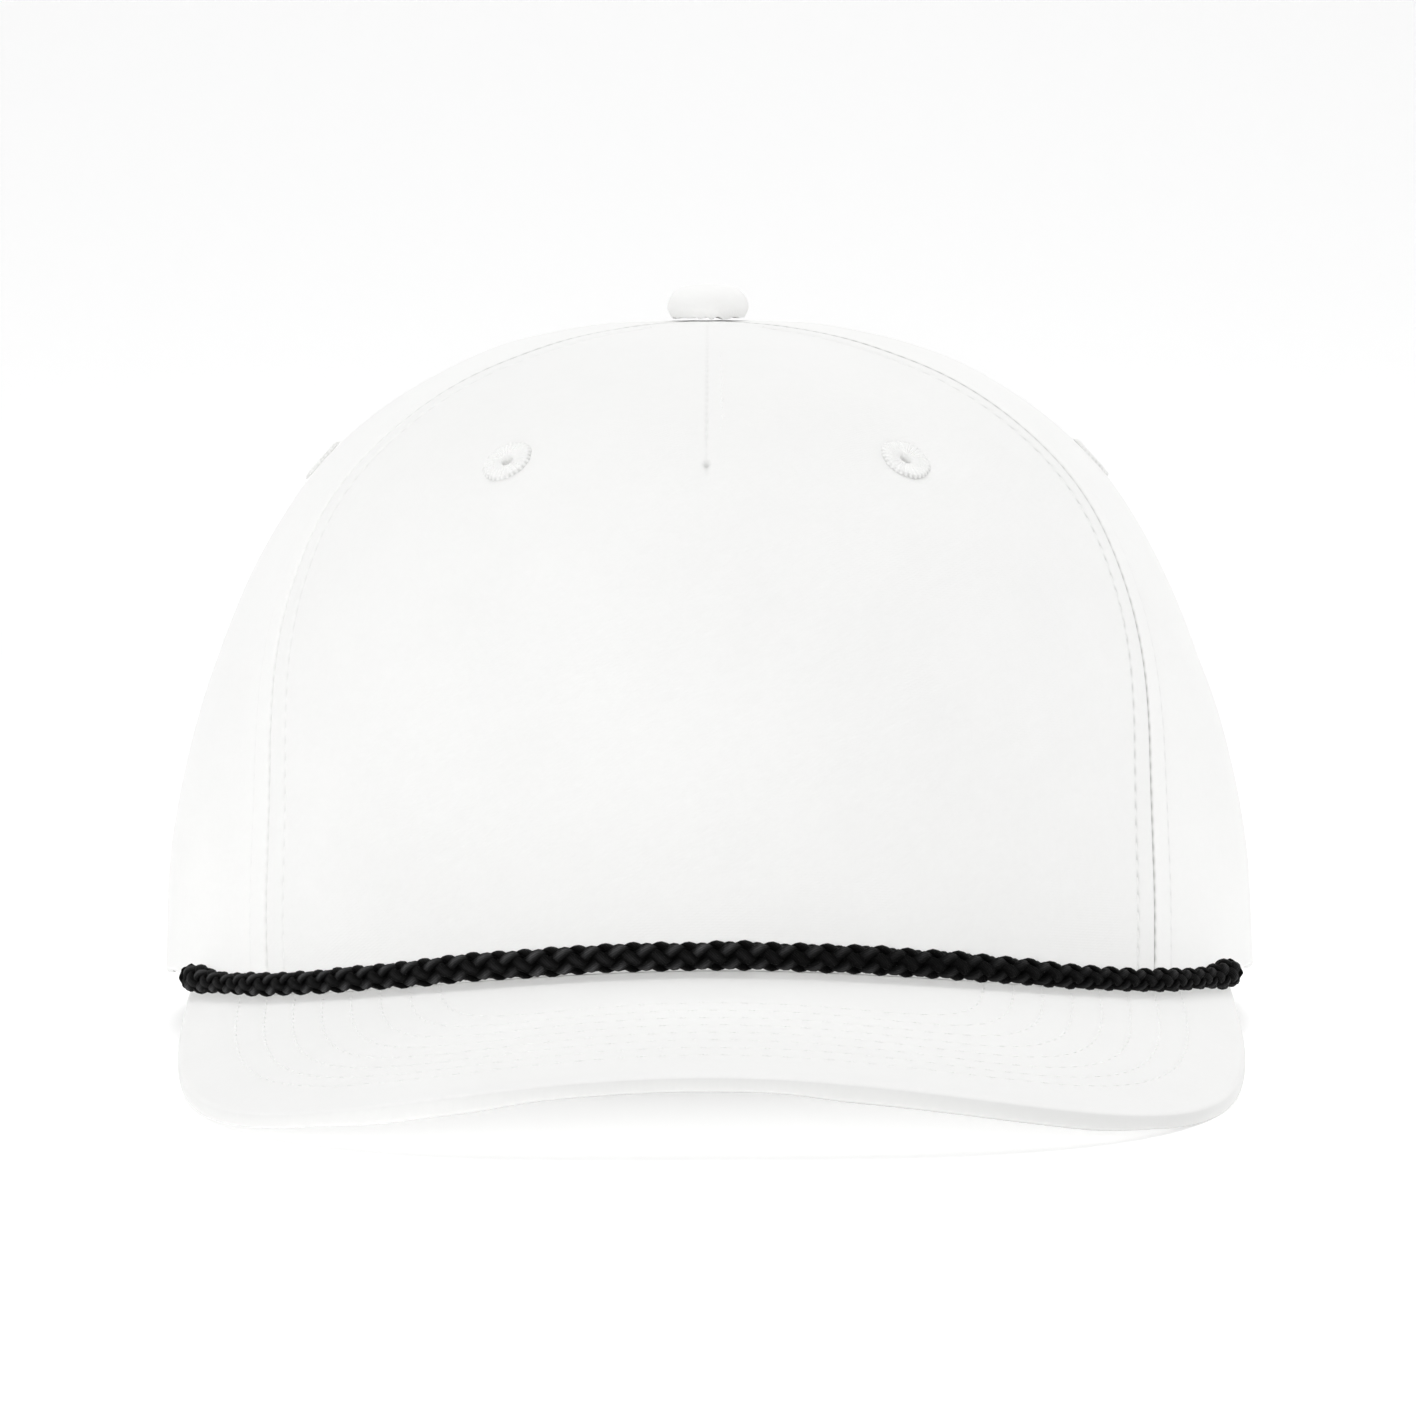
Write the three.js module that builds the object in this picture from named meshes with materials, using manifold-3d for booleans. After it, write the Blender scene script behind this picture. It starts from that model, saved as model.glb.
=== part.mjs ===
// Five-panel rope cap: a stiff front panel with a short dart, two side panels and two back panels, sewn to a
// slightly bent brim, with a braided rope along the brim seam, six embroidered eyelets, a covered top button,
// a sweatband and a plain strap across the open arch at the back.
// Millimetres, +Z up. The brim points along -Y and the cap is symmetrical about the plane X = 0. It stands as
// it does on a table: on the strap and rim at the back, and on the two low corners of the bent brim.

import * as THREE from "three";
import { mergeVertices } from "three/addons/utils/BufferGeometryUtils.js";
import Module from "manifold-3d";

const wasm = await Module();
wasm.setup();

const { clamp, degToRad, lerp, radToDeg, smoothstep } = THREE.MathUtils;

// Driving dimensions.
const SEWN_GAP = 0.3; // clearance kept between pieces that are sewn together
const RIM_HALF_WIDTH = 89; // the crown's outside at the rim, from the middle plane to one side
const RIM_HALF_LENGTH = 99; // and from the middle to the front and to the back
const CROWN_TOP = 113.7; // height of the crown under the button
const BUTTON_SET_BACK = 8; // how far the button lies behind the middle of the rim

const wall = { front: 1.9, soft: 1.3 }; // cloth on its stiffener at the front, cloth alone elsewhere

const brim = {
  length: 68, // from the crown's front to the brim's front edge, at the middle
  halfWidth: 82.6,
  thickness: 2.8,
  frontTop: 19.0, // height of the brim's top where it meets the crown's front
  fall: 0.098, // drop for each millimetre forwards
  bend: 0.00238, // the bent board's section is a parabola: drop over the width squared
  bendGrowth: 0.14, // how much stronger the bend is at the front edge, as a share
  outlinePower: 3.0, // how square the front corners are in plan
  squareFrom: 50, // how far in front of the rim's middle the sides begin to round
  cornerHalfWidth: 82.2, // half the width at the back corners, where the brim runs under the crown
  cornerAzimuth: 66, // where those corners lie on the rim, in degrees from the front
  stations: 44, // cross-sections from one corner to the other
};

const rope = { diameter: 4.6, endAzimuth: 59.5, sides: 10, steps: 56, routePoints: 33 };

const button = { radius: 6.75, baseRadius: 6.0, height: 5.1, shankRadius: 2.0, shankLength: 2.6 };

const eyelet = {
  ringRadius: 4.4,
  ringHeight: 0.7,
  rounding: 0.6,
  holeRadius: 1.2,
  barrelRadius: 1.8,
  clothHole: 2.2, // the hole in the cloth that the barrel of thread goes through
};

// The sweatband steps in by lap where its ends lie inside the strap, and stops short of the arch.
const band = { height: 31, thickness: 1.5, lap: 2.2, lapLength: 12, endMargin: 3, offTable: 0.6, steps: 64 };

// The arch over the strap is half an ellipse on two short uprights.
const arch = { halfWidth: 42, top: 50, springHeight: 16, steps: 14 };

// The strap's two ends overlap in the middle, where a row of studs joins them.
const strap = { halfLength: 53, height: 19, thickness: 1.5, steps: 20 };
const strapLap = { halfLength: 33, thickness: 1.2, steps: 14 };
const stud = { radius: 2.6, topRadius: 2.2, height: 1.5, root: 1, pitch: 11, count: 5 };

// Rings of the crown's outside, from the rim to the button at even rises. front and back are the distances of
// a ring's ends from the rim's middle, side is half its width, and frontZ, sideZ and backZ are its heights
// there. middle is how far its centre lies back, and square is the power of its front half's superellipse.
const rings = [
  { front: 99.0, side: 89.0, back: 99.0, frontZ: 19.3, sideZ: 7.2, backZ: 0.0, middle: 0, square: 2.15 },
  { front: 98.4, side: 88.2, back: 99.8, frontZ: 37.3, sideZ: 25.4, backZ: 16.0, middle: 1, square: 2.15 },
  { front: 96.0, side: 85.4, back: 98.6, frontZ: 55.0, sideZ: 42.1, backZ: 33.0, middle: 2, square: 2.15 },
  { front: 91.0, side: 80.6, back: 94.5, frontZ: 71.5, sideZ: 58.3, backZ: 50.5, middle: 3.5, square: 2.1 },
  { front: 83.0, side: 73.4, back: 87.0, frontZ: 86.0, sideZ: 75.1, backZ: 67.5, middle: 5, square: 2.05 },
  { front: 71.0, side: 64.3, back: 76.0, frontZ: 98.0, sideZ: 89.6, backZ: 83.7, middle: 6.5, square: 2 },
  { front: 54.5, side: 51.4, back: 61.0, frontZ: 106.4, sideZ: 101.1, backZ: 97.0, middle: 7.5, square: 2 },
  { front: 34.5, side: 35.5, back: 44.0, frontZ: 111.3, sideZ: 109.1, backZ: 106.8, middle: 8, square: 2 },
  { front: 13.0, side: 20.0, back: 26.0, frontZ: 113.2, sideZ: 112.6, backZ: 112.0, middle: 8, square: 2 },
  {
    front: -BUTTON_SET_BACK,
    side: 0,
    back: BUTTON_SET_BACK,
    frontZ: CROWN_TOP,
    sideZ: CROWN_TOP,
    backZ: CROWN_TOP,
    middle: BUTTON_SET_BACK,
    square: 2,
  },
];

// Where the seams run, in degrees from the front: the front panel's edges and the back panels' outer edges.
// rise goes from 0 at the rim to 1 at the button.
const seams = [
  { rise: 0.0, front: 46.3, back: 119 },
  { rise: 0.2, front: 47.5, back: 119.5 },
  { rise: 0.4, front: 54.3, back: 120 },
  { rise: 0.5, front: 56.4, back: 120 },
  { rise: 0.6, front: 53.9, back: 120 },
  { rise: 0.7, front: 49.3, back: 120 },
  { rise: 0.8, front: 41.7, back: 120 },
  { rise: 0.9, front: 39.8, back: 120 },
  { rise: 1.0, front: 39.0, back: 120 },
];

// The dart is a short seam down the middle of the front panel; its crease narrows towards the button.
const dart = { endRise: 0.51, fullRise: 0.6, depth: 0.7, columnShare: 0.014 };

const eyelets = [
  { name: "front", azimuth: 23.4, rise: 0.536 },
  { name: "side", azimuth: 90, rise: 0.567 },
  { name: "back", azimuth: 150, rise: 0.585 },
];

const RIM_FADE = 0.45; // the rim's own line dies out at this rise
const FLAT_BACK_FROM = 86; // behind this the rim lies flat on the table
const BRIM_LEAVES_RIM = { from: -38, to: -2 }; // between these the rim goes from the brim to its own line
const CROWN_HOLE = 2.6; // radius of the hole that the button's shank goes through
const PANEL_ROWS = 16;
const FRONT_COLUMNS = 26;
const SOFT_COLUMNS = 12;
const CUT_LENGTH = 12; // length of the tool that pierces a panel for an eyelet
const TINY = 1e-3; // the least size of a ring, so that none is a point

const colours = { cloth: "#f7f7f6", rope: "#161617", thread: "#fbfbfa", band: "#f2f2f0", strap: "#f6f6f5" };

// A smooth curve through one column of a table, as a function of the other.
function curveOf(rows, key, positions) {
  const curve = new THREE.CubicInterpolant(positions, rows.map((row) => row[key]), 1);
  return (t) => curve.evaluate(clamp(t, 0, 1))[0];
}

const ringPositions = rings.map((_, i) => i / (rings.length - 1));
const ring = {};
for (const key of Object.keys(rings[0])) ring[key] = curveOf(rings, key, ringPositions);
const seam = {};
for (const key of ["front", "back"]) seam[key] = curveOf(seams, key, seams.map((row) => row.rise));

// Height of the brim's upper face over a point of the plan.
function brimTop(x, y) {
  const ahead = -y - RIM_HALF_LENGTH;
  const bend = brim.bend * (1 + (brim.bendGrowth * ahead) / brim.length);
  return brim.frontTop - brim.fall * ahead - bend * x * x;
}

// Height of the crown's lower edge: on the brim at the front, then falling to the table at the back.
function rimHeight(x, y) {
  const onBrim = brimTop(x, y) + SEWN_GAP;
  const behind = Math.max(0, rings[0].sideZ * (1 - y / FLAT_BACK_FROM));
  return lerp(onBrim, behind, smoothstep(y, BRIM_LEAVES_RIM.from, BRIM_LEAVES_RIM.to));
}

// A ring of the crown without the rim's own line, at an azimuth in degrees from the front.
function ringPoint(azimuth, rise) {
  const [s, c] = [Math.sin(degToRad(azimuth)), Math.cos(degToRad(azimuth))];
  const inFront = c > 0;
  const middle = ring.middle(rise);
  const side = Math.max(ring.side(rise), TINY);
  const length = Math.max(inFront ? ring.front(rise) + middle : ring.back(rise) - middle, TINY);
  const power = inFront ? ring.square(rise) : 2;
  const reach = ((Math.abs(s) / side) ** power + (Math.abs(c) / length) ** power) ** (-1 / power);
  const endZ = inFront ? ring.frontZ(rise) : ring.backZ(rise);
  return new THREE.Vector3(reach * s, middle - reach * c, lerp(ring.sideZ(rise), endZ, c * c));
}

// The crown's outside, at an azimuth in degrees from the front and a rise from the rim to the button.
function crownPoint(azimuth, rise) {
  const p = ringPoint(azimuth, rise);
  const rim = ringPoint(azimuth, 0);
  p.z += (rimHeight(rim.x, rim.y) - rim.z) * (1 - smoothstep(rise, 0, RIM_FADE));
  return p;
}

function crownNormal(azimuth, rise) {
  const [turn, step] = [0.5, 0.004];
  const along = crownPoint(azimuth + turn, rise).sub(crownPoint(azimuth - turn, rise));
  const above = crownPoint(azimuth, Math.min(rise + step, 1 - step));
  const below = crownPoint(azimuth, Math.max(rise - step, 0));
  return along.cross(above.sub(below)).normalize();
}

// The same direction laid level, for what runs along the rim.
function rimOutward(azimuth) {
  return crownNormal(azimuth, 0).setZ(0).normalize();
}

// A point at a depth under the crown's outside; a negative depth stands proud of it.
function crownAt(azimuth, rise, depth) {
  return crownPoint(azimuth, rise).addScaledVector(crownNormal(azimuth, rise), -depth);
}

function geometryOf(points, faces) {
  const geometry = new THREE.BufferGeometry();
  const coordinates = points.flatMap((p) => [p.x, p.y, p.z]);
  geometry.setAttribute("position", new THREE.Float32BufferAttribute(coordinates, 3));
  geometry.setIndex(faces);
  return geometry;
}

// A closed skin through a row of closed loops of points, with its two ends capped by fans.
function loft(loops) {
  const n = loops[0].length;
  const faces = [];
  for (let i = 0; i + 1 < loops.length; i++)
    for (let k = 0; k < n; k++) {
      const [a, b] = [i * n + k, i * n + ((k + 1) % n)];
      faces.push(a, b, b + n, a, b + n, a + n);
    }
  const last = (loops.length - 1) * n;
  for (let k = 1; k + 1 < n; k++) faces.push(0, k + 1, k, last, last + k, last + k + 1);
  return facingOut(geometryOf(loops.flat(), faces));
}

// A closed wall between an outer and an inner grid of points.
function wallBetween(outer, inner) {
  const [rows, columns] = [outer.length, outer[0].length];
  const inside = rows * columns;
  const at = (i, j) => i * columns + j;
  const faces = [];
  const quad = (a, b, c, d) => faces.push(a, b, c, a, c, d);
  for (let i = 0; i + 1 < rows; i++)
    for (let j = 0; j + 1 < columns; j++) {
      const [a, b, c, d] = [at(i, j), at(i, j + 1), at(i + 1, j + 1), at(i + 1, j)];
      quad(a, b, c, d);
      quad(inside + a, inside + d, inside + c, inside + b);
    }
  const edge = (a, b) => quad(b, a, inside + a, inside + b);
  for (let j = 0; j + 1 < columns; j++) {
    edge(at(0, j), at(0, j + 1));
    edge(at(rows - 1, j + 1), at(rows - 1, j));
  }
  for (let i = 0; i + 1 < rows; i++) {
    edge(at(i, columns - 1), at(i + 1, columns - 1));
    edge(at(i + 1, 0), at(i, 0));
  }
  return facingOut(geometryOf([...outer.flat(), ...inner.flat()], faces));
}

function signedVolume(geometry) {
  const p = geometry.attributes.position;
  const corner = (i) => new THREE.Vector3().fromBufferAttribute(p, geometry.index.getX(i));
  let sum = 0;
  for (let i = 0; i < geometry.index.count; i += 3) sum += corner(i).dot(corner(i + 1).cross(corner(i + 2)));
  return sum / 6;
}

function facingOut(geometry) {
  if (signedVolume(geometry) < 0) geometry.setIndex(Array.from(geometry.index.array).reverse());
  return geometry;
}

function solidOf(geometry) {
  const bare = geometry.clone();
  bare.deleteAttribute("normal");
  bare.deleteAttribute("uv");
  const merged = mergeVertices(bare, 1e-4);
  return new wasm.Manifold(
    new wasm.Mesh({
      numProp: 3,
      vertProperties: Float32Array.from(merged.attributes.position.array),
      triVerts: Uint32Array.from(merged.index.array),
    }),
  );
}

function geometryFrom(solid) {
  const mesh = solid.getMesh();
  const geometry = new THREE.BufferGeometry();
  geometry.setAttribute("position", new THREE.Float32BufferAttribute(mesh.vertProperties, 3));
  geometry.setIndex(Array.from(mesh.triVerts));
  return geometry;
}

const materials = {
  cloth: new THREE.MeshStandardMaterial({ color: colours.cloth, roughness: 0.9, metalness: 0 }),
  rope: new THREE.MeshStandardMaterial({ color: colours.rope, roughness: 0.6, metalness: 0 }),
  thread: new THREE.MeshStandardMaterial({ color: colours.thread, roughness: 0.55, metalness: 0 }),
  band: new THREE.MeshStandardMaterial({ color: colours.band, roughness: 0.95, metalness: 0 }),
  strap: new THREE.MeshStandardMaterial({ color: colours.strap, roughness: 0.4, metalness: 0 }),
};

const cap = new THREE.Group();

function addPiece(name, geometry, material) {
  geometry.computeVertexNormals();
  const mesh = new THREE.Mesh(geometry, material);
  mesh.name = name;
  cap.add(mesh);
  return mesh;
}

// Turns a lathe-made fitting, whose axis is Y, to stand on the crown with its Y along the outside's normal.
function standOnCrown(geometry, azimuth, rise, depth) {
  const out = crownNormal(azimuth, rise);
  const turn = new THREE.Quaternion().setFromUnitVectors(new THREE.Vector3(0, 1, 0), out);
  return geometry.applyQuaternion(turn).translate(...crownAt(azimuth, rise, depth).toArray());
}

// The rows of a panel stop at the hole for the button's shank.
const HOLE_RISE = 1 - CROWN_HOLE / rings.at(-2).side / (rings.length - 1);

function evenShares(count) {
  return Array.from({ length: count + 1 }, (_, i) => i / count);
}

// One panel of the crown between two seam lines, with a column of points at each share of the way across. It
// is creased along a column by the depth that crease gives, pierced for its eyelets and then cut.
function panelGeometry({ from, to, shares, thickness, holes, crease, cutter }) {
  const grid = (depth) =>
    evenShares(PANEL_ROWS).map((row) => {
      const rise = row * HOLE_RISE;
      const margin = radToDeg(SEWN_GAP / 2 / Math.max(ring.side(rise), CROWN_HOLE));
      const [a, b] = [from(rise) + margin, to(rise) - margin];
      return shares.map((share) => {
        const sunk = crease ? crease(share, rise) : 0;
        const p = crownAt(lerp(a, b, share), rise, depth + sunk);
        if (row === 0) p.z = rimHeight(p.x, p.y);
        return p;
      });
    });
  let solid = solidOf(wallBetween(grid(0), grid(thickness)));
  for (const hole of holes) {
    const tool = new THREE.CylinderGeometry(eyelet.clothHole, eyelet.clothHole, CUT_LENGTH, 12);
    solid = solid.subtract(solidOf(standOnCrown(tool, hole.azimuth, hole.rise, 0)));
  }
  if (cutter) solid = solid.subtract(cutter);
  return geometryFrom(solid);
}

// The opening over the strap, cut through the back panels only.
function archCutter() {
  const shape = new THREE.Shape();
  const belowTable = -5;
  shape.moveTo(-arch.halfWidth, belowTable);
  shape.lineTo(arch.halfWidth, belowTable);
  for (const share of evenShares(arch.steps)) {
    const turn = Math.PI * share;
    const z = arch.springHeight + (arch.top - arch.springHeight) * Math.sin(turn);
    shape.lineTo(arch.halfWidth * Math.cos(turn), z);
  }
  const depth = 60;
  const geometry = new THREE.ExtrudeGeometry(shape, { depth, bevelEnabled: false, curveSegments: 1 });
  geometry.rotateX(Math.PI / 2).translate(0, RIM_HALF_LENGTH + depth / 2, 0);
  return solidOf(geometry);
}

function addPanels() {
  const holesFor = (name, side) => {
    const { azimuth, rise } = eyelets.find((e) => e.name === name);
    return { azimuth: side * azimuth, rise };
  };
  const dartDepth = (rise) => dart.depth * smoothstep(rise, dart.endRise, dart.fullRise);
  const besideDart = [...evenShares(FRONT_COLUMNS), 0.5 - dart.columnShare, 0.5 + dart.columnShare];
  const front = panelGeometry({
    from: (rise) => -seam.front(rise),
    to: (rise) => seam.front(rise),
    shares: besideDart.sort((a, b) => a - b),
    thickness: wall.front,
    holes: [holesFor("front", 1), holesFor("front", -1)],
    crease: (share, rise) => (share === 0.5 ? dartDepth(rise) : 0),
  });
  addPiece("front_panel", front, materials.cloth);

  const cutter = archCutter();
  for (const [side, word] of [[1, "left"], [-1, "right"]]) {
    const between = (near, far) =>
      side > 0 ? { from: near, to: far } : { from: (rise) => -far(rise), to: (rise) => -near(rise) };
    const plain = { shares: evenShares(SOFT_COLUMNS), thickness: wall.soft };
    const sidePanel = { ...between(seam.front, seam.back), ...plain, holes: [holesFor("side", side)] };
    addPiece(`side_panel_${word}`, panelGeometry(sidePanel), materials.cloth);
    const backPanel = { ...between(seam.back, () => 180), ...plain, holes: [holesFor("back", side)], cutter };
    addPiece(`back_panel_${word}`, panelGeometry(backPanel), materials.cloth);
  }
}

// The brim's outer edge, as an angle from the front about the point where its sides begin to round.
function brimEdge(angle) {
  const [s, c] = [Math.sin(degToRad(angle)), Math.cos(degToRad(angle))];
  if (c > 0) {
    const ahead = RIM_HALF_LENGTH + brim.length - brim.squareFrom;
    const [w, p] = [brim.halfWidth, brim.outlinePower];
    const reach = ((Math.abs(s) / w) ** p + (c / ahead) ** p) ** (-1 / p);
    return new THREE.Vector2(reach * s, -brim.squareFrom - reach * c);
  }
  const corner = cornerPoint();
  const back = brim.squareFrom + corner.y; // how far behind that point the corner lies
  const share = Math.min(1, (-c / Math.abs(s)) * (brim.halfWidth / back));
  const width = lerp(brim.halfWidth, brim.cornerHalfWidth, share * share);
  return new THREE.Vector2(Math.sign(s) * width, -brim.squareFrom + share * back);
}

function cornerPoint() {
  const p = crownPoint(brim.cornerAzimuth, 0);
  return new THREE.Vector2(p.x, p.y);
}

// Cross-section of the brim, round its outer edge: a share of the way out, millimetres past the edge line,
// and a share of the thickness below the top.
const brimSection = [
  { across: 0, past: 0, down: 0 },
  { across: 0.25, past: 0, down: 0 },
  { across: 0.5, past: 0, down: 0 },
  { across: 0.75, past: 0, down: 0 },
  { across: 1, past: -1.3, down: 0 },
  { across: 1, past: -0.35, down: 0.18 },
  { across: 1, past: 0, down: 0.5 },
  { across: 1, past: -0.35, down: 0.82 },
  { across: 1, past: -1.3, down: 1 },
  { across: 0.75, past: 0, down: 1 },
  { across: 0.5, past: 0, down: 1 },
  { across: 0.25, past: 0, down: 1 },
  { across: 0, past: 0, down: 1 },
];

function addBrim() {
  const corner = cornerPoint();
  const endAngle = 90 + radToDeg(Math.atan2(brim.squareFrom + corner.y, brim.halfWidth));
  const fullRounding = 4; // the rounding shrinks where the brim is narrower than this
  const loops = evenShares(brim.stations).map((station) => {
    const share = 2 * station - 1;
    const root = crownAt(share * brim.cornerAzimuth, 0, wall.front);
    const inner = new THREE.Vector2(root.x, root.y);
    const edge = brimEdge(share * endAngle);
    const outward = edge.clone().sub(inner).normalize();
    const room = Math.min(1, edge.distanceTo(inner) / fullRounding);
    return brimSection.map(({ across, past, down }) => {
      const p = inner.clone().lerp(edge, across).addScaledVector(outward, past * room);
      const z = brimTop(p.x, p.y) - down * brim.thickness;
      return new THREE.Vector3(p.x, p.y, Math.max(0, z));
    });
  });
  addPiece("brim", loft(loops), materials.cloth);
}

// The rope's centre line lies in the corner between the crown and the brim.
function ropeRoute() {
  const out = rope.diameter / 2 + SEWN_GAP;
  const points = evenShares(rope.routePoints - 1).map((share) => {
    const azimuth = rope.endAzimuth * (2 * share - 1);
    const p = crownPoint(azimuth, 0).addScaledVector(rimOutward(azimuth), out);
    return p.setZ(brimTop(p.x, p.y) + out);
  });
  return new THREE.CatmullRomCurve3(points);
}

function addRope() {
  const corners = evenShares(rope.sides).slice(0, -1);
  const radius = rope.diameter / 2;
  const section = new THREE.Shape(
    corners.map((share) => {
      const turn = 2 * Math.PI * share;
      return new THREE.Vector2(radius * Math.cos(turn), radius * Math.sin(turn));
    }),
  );
  const geometry = new THREE.ExtrudeGeometry(section, { steps: rope.steps, extrudePath: ropeRoute() });
  addPiece("rope", geometryFrom(solidOf(geometry)), materials.rope);
}

// A closed turned solid from a profile of pairs: radius and place along the axis.
function lathe(profile, segments) {
  const points = profile.map(([radius, along]) => new THREE.Vector2(radius, along));
  const geometry = new THREE.LatheGeometry(points, segments);
  geometry.deleteAttribute("normal");
  geometry.deleteAttribute("uv");
  return facingOut(mergeVertices(geometry, 1e-4));
}

// The covered button, with the shank that holds it through the hole where the panels meet.
function addButton() {
  const { radius, baseRadius, height, shankRadius, shankLength } = button;
  const profile = [
    [0, -shankLength],
    [shankRadius, -shankLength],
    [shankRadius, 0],
    [baseRadius, 0],
    [radius * 0.97, height * 0.14],
    [radius, height * 0.34],
    [radius * 0.97, height * 0.55],
    [radius * 0.86, height * 0.76],
    [radius * 0.64, height * 0.91],
    [radius * 0.34, height * 0.98],
    [0, height],
  ];
  const geometry = lathe(profile, 24);
  geometry.rotateX(Math.PI / 2).translate(0, BUTTON_SET_BACK, CROWN_TOP + SEWN_GAP);
  addPiece("button", geometry, materials.cloth);
}

// An embroidered eyelet: a raised ring outside, and a barrel of thread through the cloth.
function addEyelets() {
  const { ringRadius, ringHeight, rounding, holeRadius, barrelRadius } = eyelet;
  for (const { name, azimuth, rise } of eyelets)
    for (const [side, word] of [[1, "left"], [-1, "right"]]) {
      const through = (name === "front" ? wall.front : wall.soft) + SEWN_GAP;
      const profile = [
        [holeRadius, -through],
        [barrelRadius, -through],
        [barrelRadius, 0],
        [ringRadius, 0],
        [ringRadius, ringHeight * 0.5],
        [ringRadius - rounding, ringHeight],
        [holeRadius + rounding, ringHeight],
        [holeRadius, ringHeight * 0.4],
        [holeRadius, -through],
      ];
      const geometry = standOnCrown(lathe(profile, 16), side * azimuth, rise, -SEWN_GAP);
      addPiece(`eyelet_${name}_${word}`, geometry, materials.thread);
    }
}

// Azimuth, behind the side, at which the rim reaches a distance from the middle plane.
function azimuthAtX(x) {
  let [low, high] = [90, 180];
  for (let i = 0; i < 30; i++) {
    const mid = (low + high) / 2;
    if (crownPoint(mid, 0).x > x) low = mid;
    else high = mid;
  }
  return low;
}

// How much nearer the middle the crown's outside is at a height over the rim.
function leanInside(azimuth, height) {
  const rim = crownPoint(azimuth, 0);
  let rise = 0;
  while (rise < RIM_FADE && crownPoint(azimuth, rise).z < rim.z + height) rise += 0.01;
  return Math.max(0, rim.sub(crownPoint(azimuth, rise)).dot(rimOutward(azimuth)));
}

// A strip inside the rim, as a rectangle carried along azimuths. Its upper edge leans in with the crown.
function stripInside(azimuths, { depth, thickness, low, high }) {
  const loops = azimuths.map((azimuth) => {
    const out = rimOutward(azimuth);
    const rim = crownPoint(azimuth, 0);
    const near = depth(azimuth);
    const [bottom, top] = [low(azimuth, rim), high(rim)];
    const lean = leanInside(azimuth, top - rim.z);
    const at = (inward, z) => rim.clone().addScaledVector(out, -inward).setZ(z);
    return [
      at(near, bottom),
      at(near + lean, top),
      at(near + lean + thickness, top),
      at(near + thickness, bottom),
    ];
  });
  return loft(loops);
}

function addSweatband() {
  const end = azimuthAtX(arch.halfWidth + band.endMargin);
  const lapStart = azimuthAtX(strap.halfLength + band.lapLength);
  const lapFull = (lapStart + azimuthAtX(strap.halfLength)) / 2;
  const overBrim = [60, 90]; // the band reaches down over the brim's inner edge as far round as this
  const geometry = stripInside(
    evenShares(band.steps).map((share) => end * (2 * share - 1)),
    {
      depth: (azimuth) => wall.front + SEWN_GAP + band.lap * smoothstep(Math.abs(azimuth), lapStart, lapFull),
      thickness: band.thickness,
      low: (azimuth, rim) => {
        const down = brim.thickness * (1 - smoothstep(Math.abs(azimuth), ...overBrim));
        return Math.max(band.offTable, rim.z - down);
      },
      high: (rim) => rim.z + band.height,
    },
  );
  addPiece("sweatband", geometry, materials.band);
}

// The strap across the arch, with its overlap and its row of studs, made as one plain piece.
function addStrap() {
  const strip = (halfLength, steps, depth, thickness) => {
    const half = 180 - azimuthAtX(halfLength);
    const azimuths = evenShares(steps).map((share) => 180 + half * (2 * share - 1));
    const shape = { depth: () => depth, thickness, low: () => 0, high: () => strap.height };
    return solidOf(stripInside(azimuths, shape));
  };
  const face = wall.soft + SEWN_GAP; // depth of the strap's outer face, just inside the back panels
  const fused = 0.2; // the overlap sinks this far into the strap, to make one solid with it
  let solid = strip(strap.halfLength, strap.steps, face, strap.thickness);
  const { halfLength, steps, thickness } = strapLap;
  solid = solid.add(strip(halfLength, steps, face - thickness, thickness + fused));
  for (const share of evenShares(stud.count - 1)) {
    const x = stud.pitch * (stud.count - 1) * (share - 0.5);
    const azimuth = x < 0 ? 360 - azimuthAtX(-x) : azimuthAtX(Math.max(x, TINY));
    const out = rimOutward(azimuth);
    const upright = new THREE.Quaternion().setFromUnitVectors(new THREE.Vector3(0, 1, 0), out);
    const peg = new THREE.CylinderGeometry(stud.topRadius, stud.radius, stud.height + stud.root, 12);
    const proud = strapLap.thickness - face + (stud.height - stud.root) / 2;
    const seat = crownPoint(azimuth, 0).addScaledVector(out, proud).setZ(strap.height / 2);
    solid = solid.add(solidOf(peg.applyQuaternion(upright).translate(...seat.toArray())));
  }
  addPiece("back_strap", geometryFrom(solid), materials.strap);
}

addPanels();
addBrim();
addRope();
addButton();
addEyelets();
addSweatband();
addStrap();

// The part's origin is under the middle of the whole cap, on the table.
const bounds = new THREE.Box3().setFromObject(cap);
const middle = bounds.getCenter(new THREE.Vector3());
cap.position.set(-middle.x, -middle.y, -bounds.min.z);

const part = new THREE.Group();
part.add(cap);

export default part;
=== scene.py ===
import math
from functools import lru_cache

import bpy
from mathutils import Matrix, Quaternion, Vector, noise


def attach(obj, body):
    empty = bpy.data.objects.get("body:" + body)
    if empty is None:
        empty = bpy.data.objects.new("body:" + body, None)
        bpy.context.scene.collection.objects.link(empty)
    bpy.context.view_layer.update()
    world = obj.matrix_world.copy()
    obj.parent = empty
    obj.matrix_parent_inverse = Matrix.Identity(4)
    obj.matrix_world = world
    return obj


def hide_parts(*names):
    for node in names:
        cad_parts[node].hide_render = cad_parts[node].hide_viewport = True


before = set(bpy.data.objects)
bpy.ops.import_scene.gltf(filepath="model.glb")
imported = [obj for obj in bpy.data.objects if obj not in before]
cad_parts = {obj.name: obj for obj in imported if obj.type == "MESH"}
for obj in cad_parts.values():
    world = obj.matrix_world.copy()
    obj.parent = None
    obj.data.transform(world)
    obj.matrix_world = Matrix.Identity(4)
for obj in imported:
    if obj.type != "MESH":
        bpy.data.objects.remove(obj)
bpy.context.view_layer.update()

mm = 0.001

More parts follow.
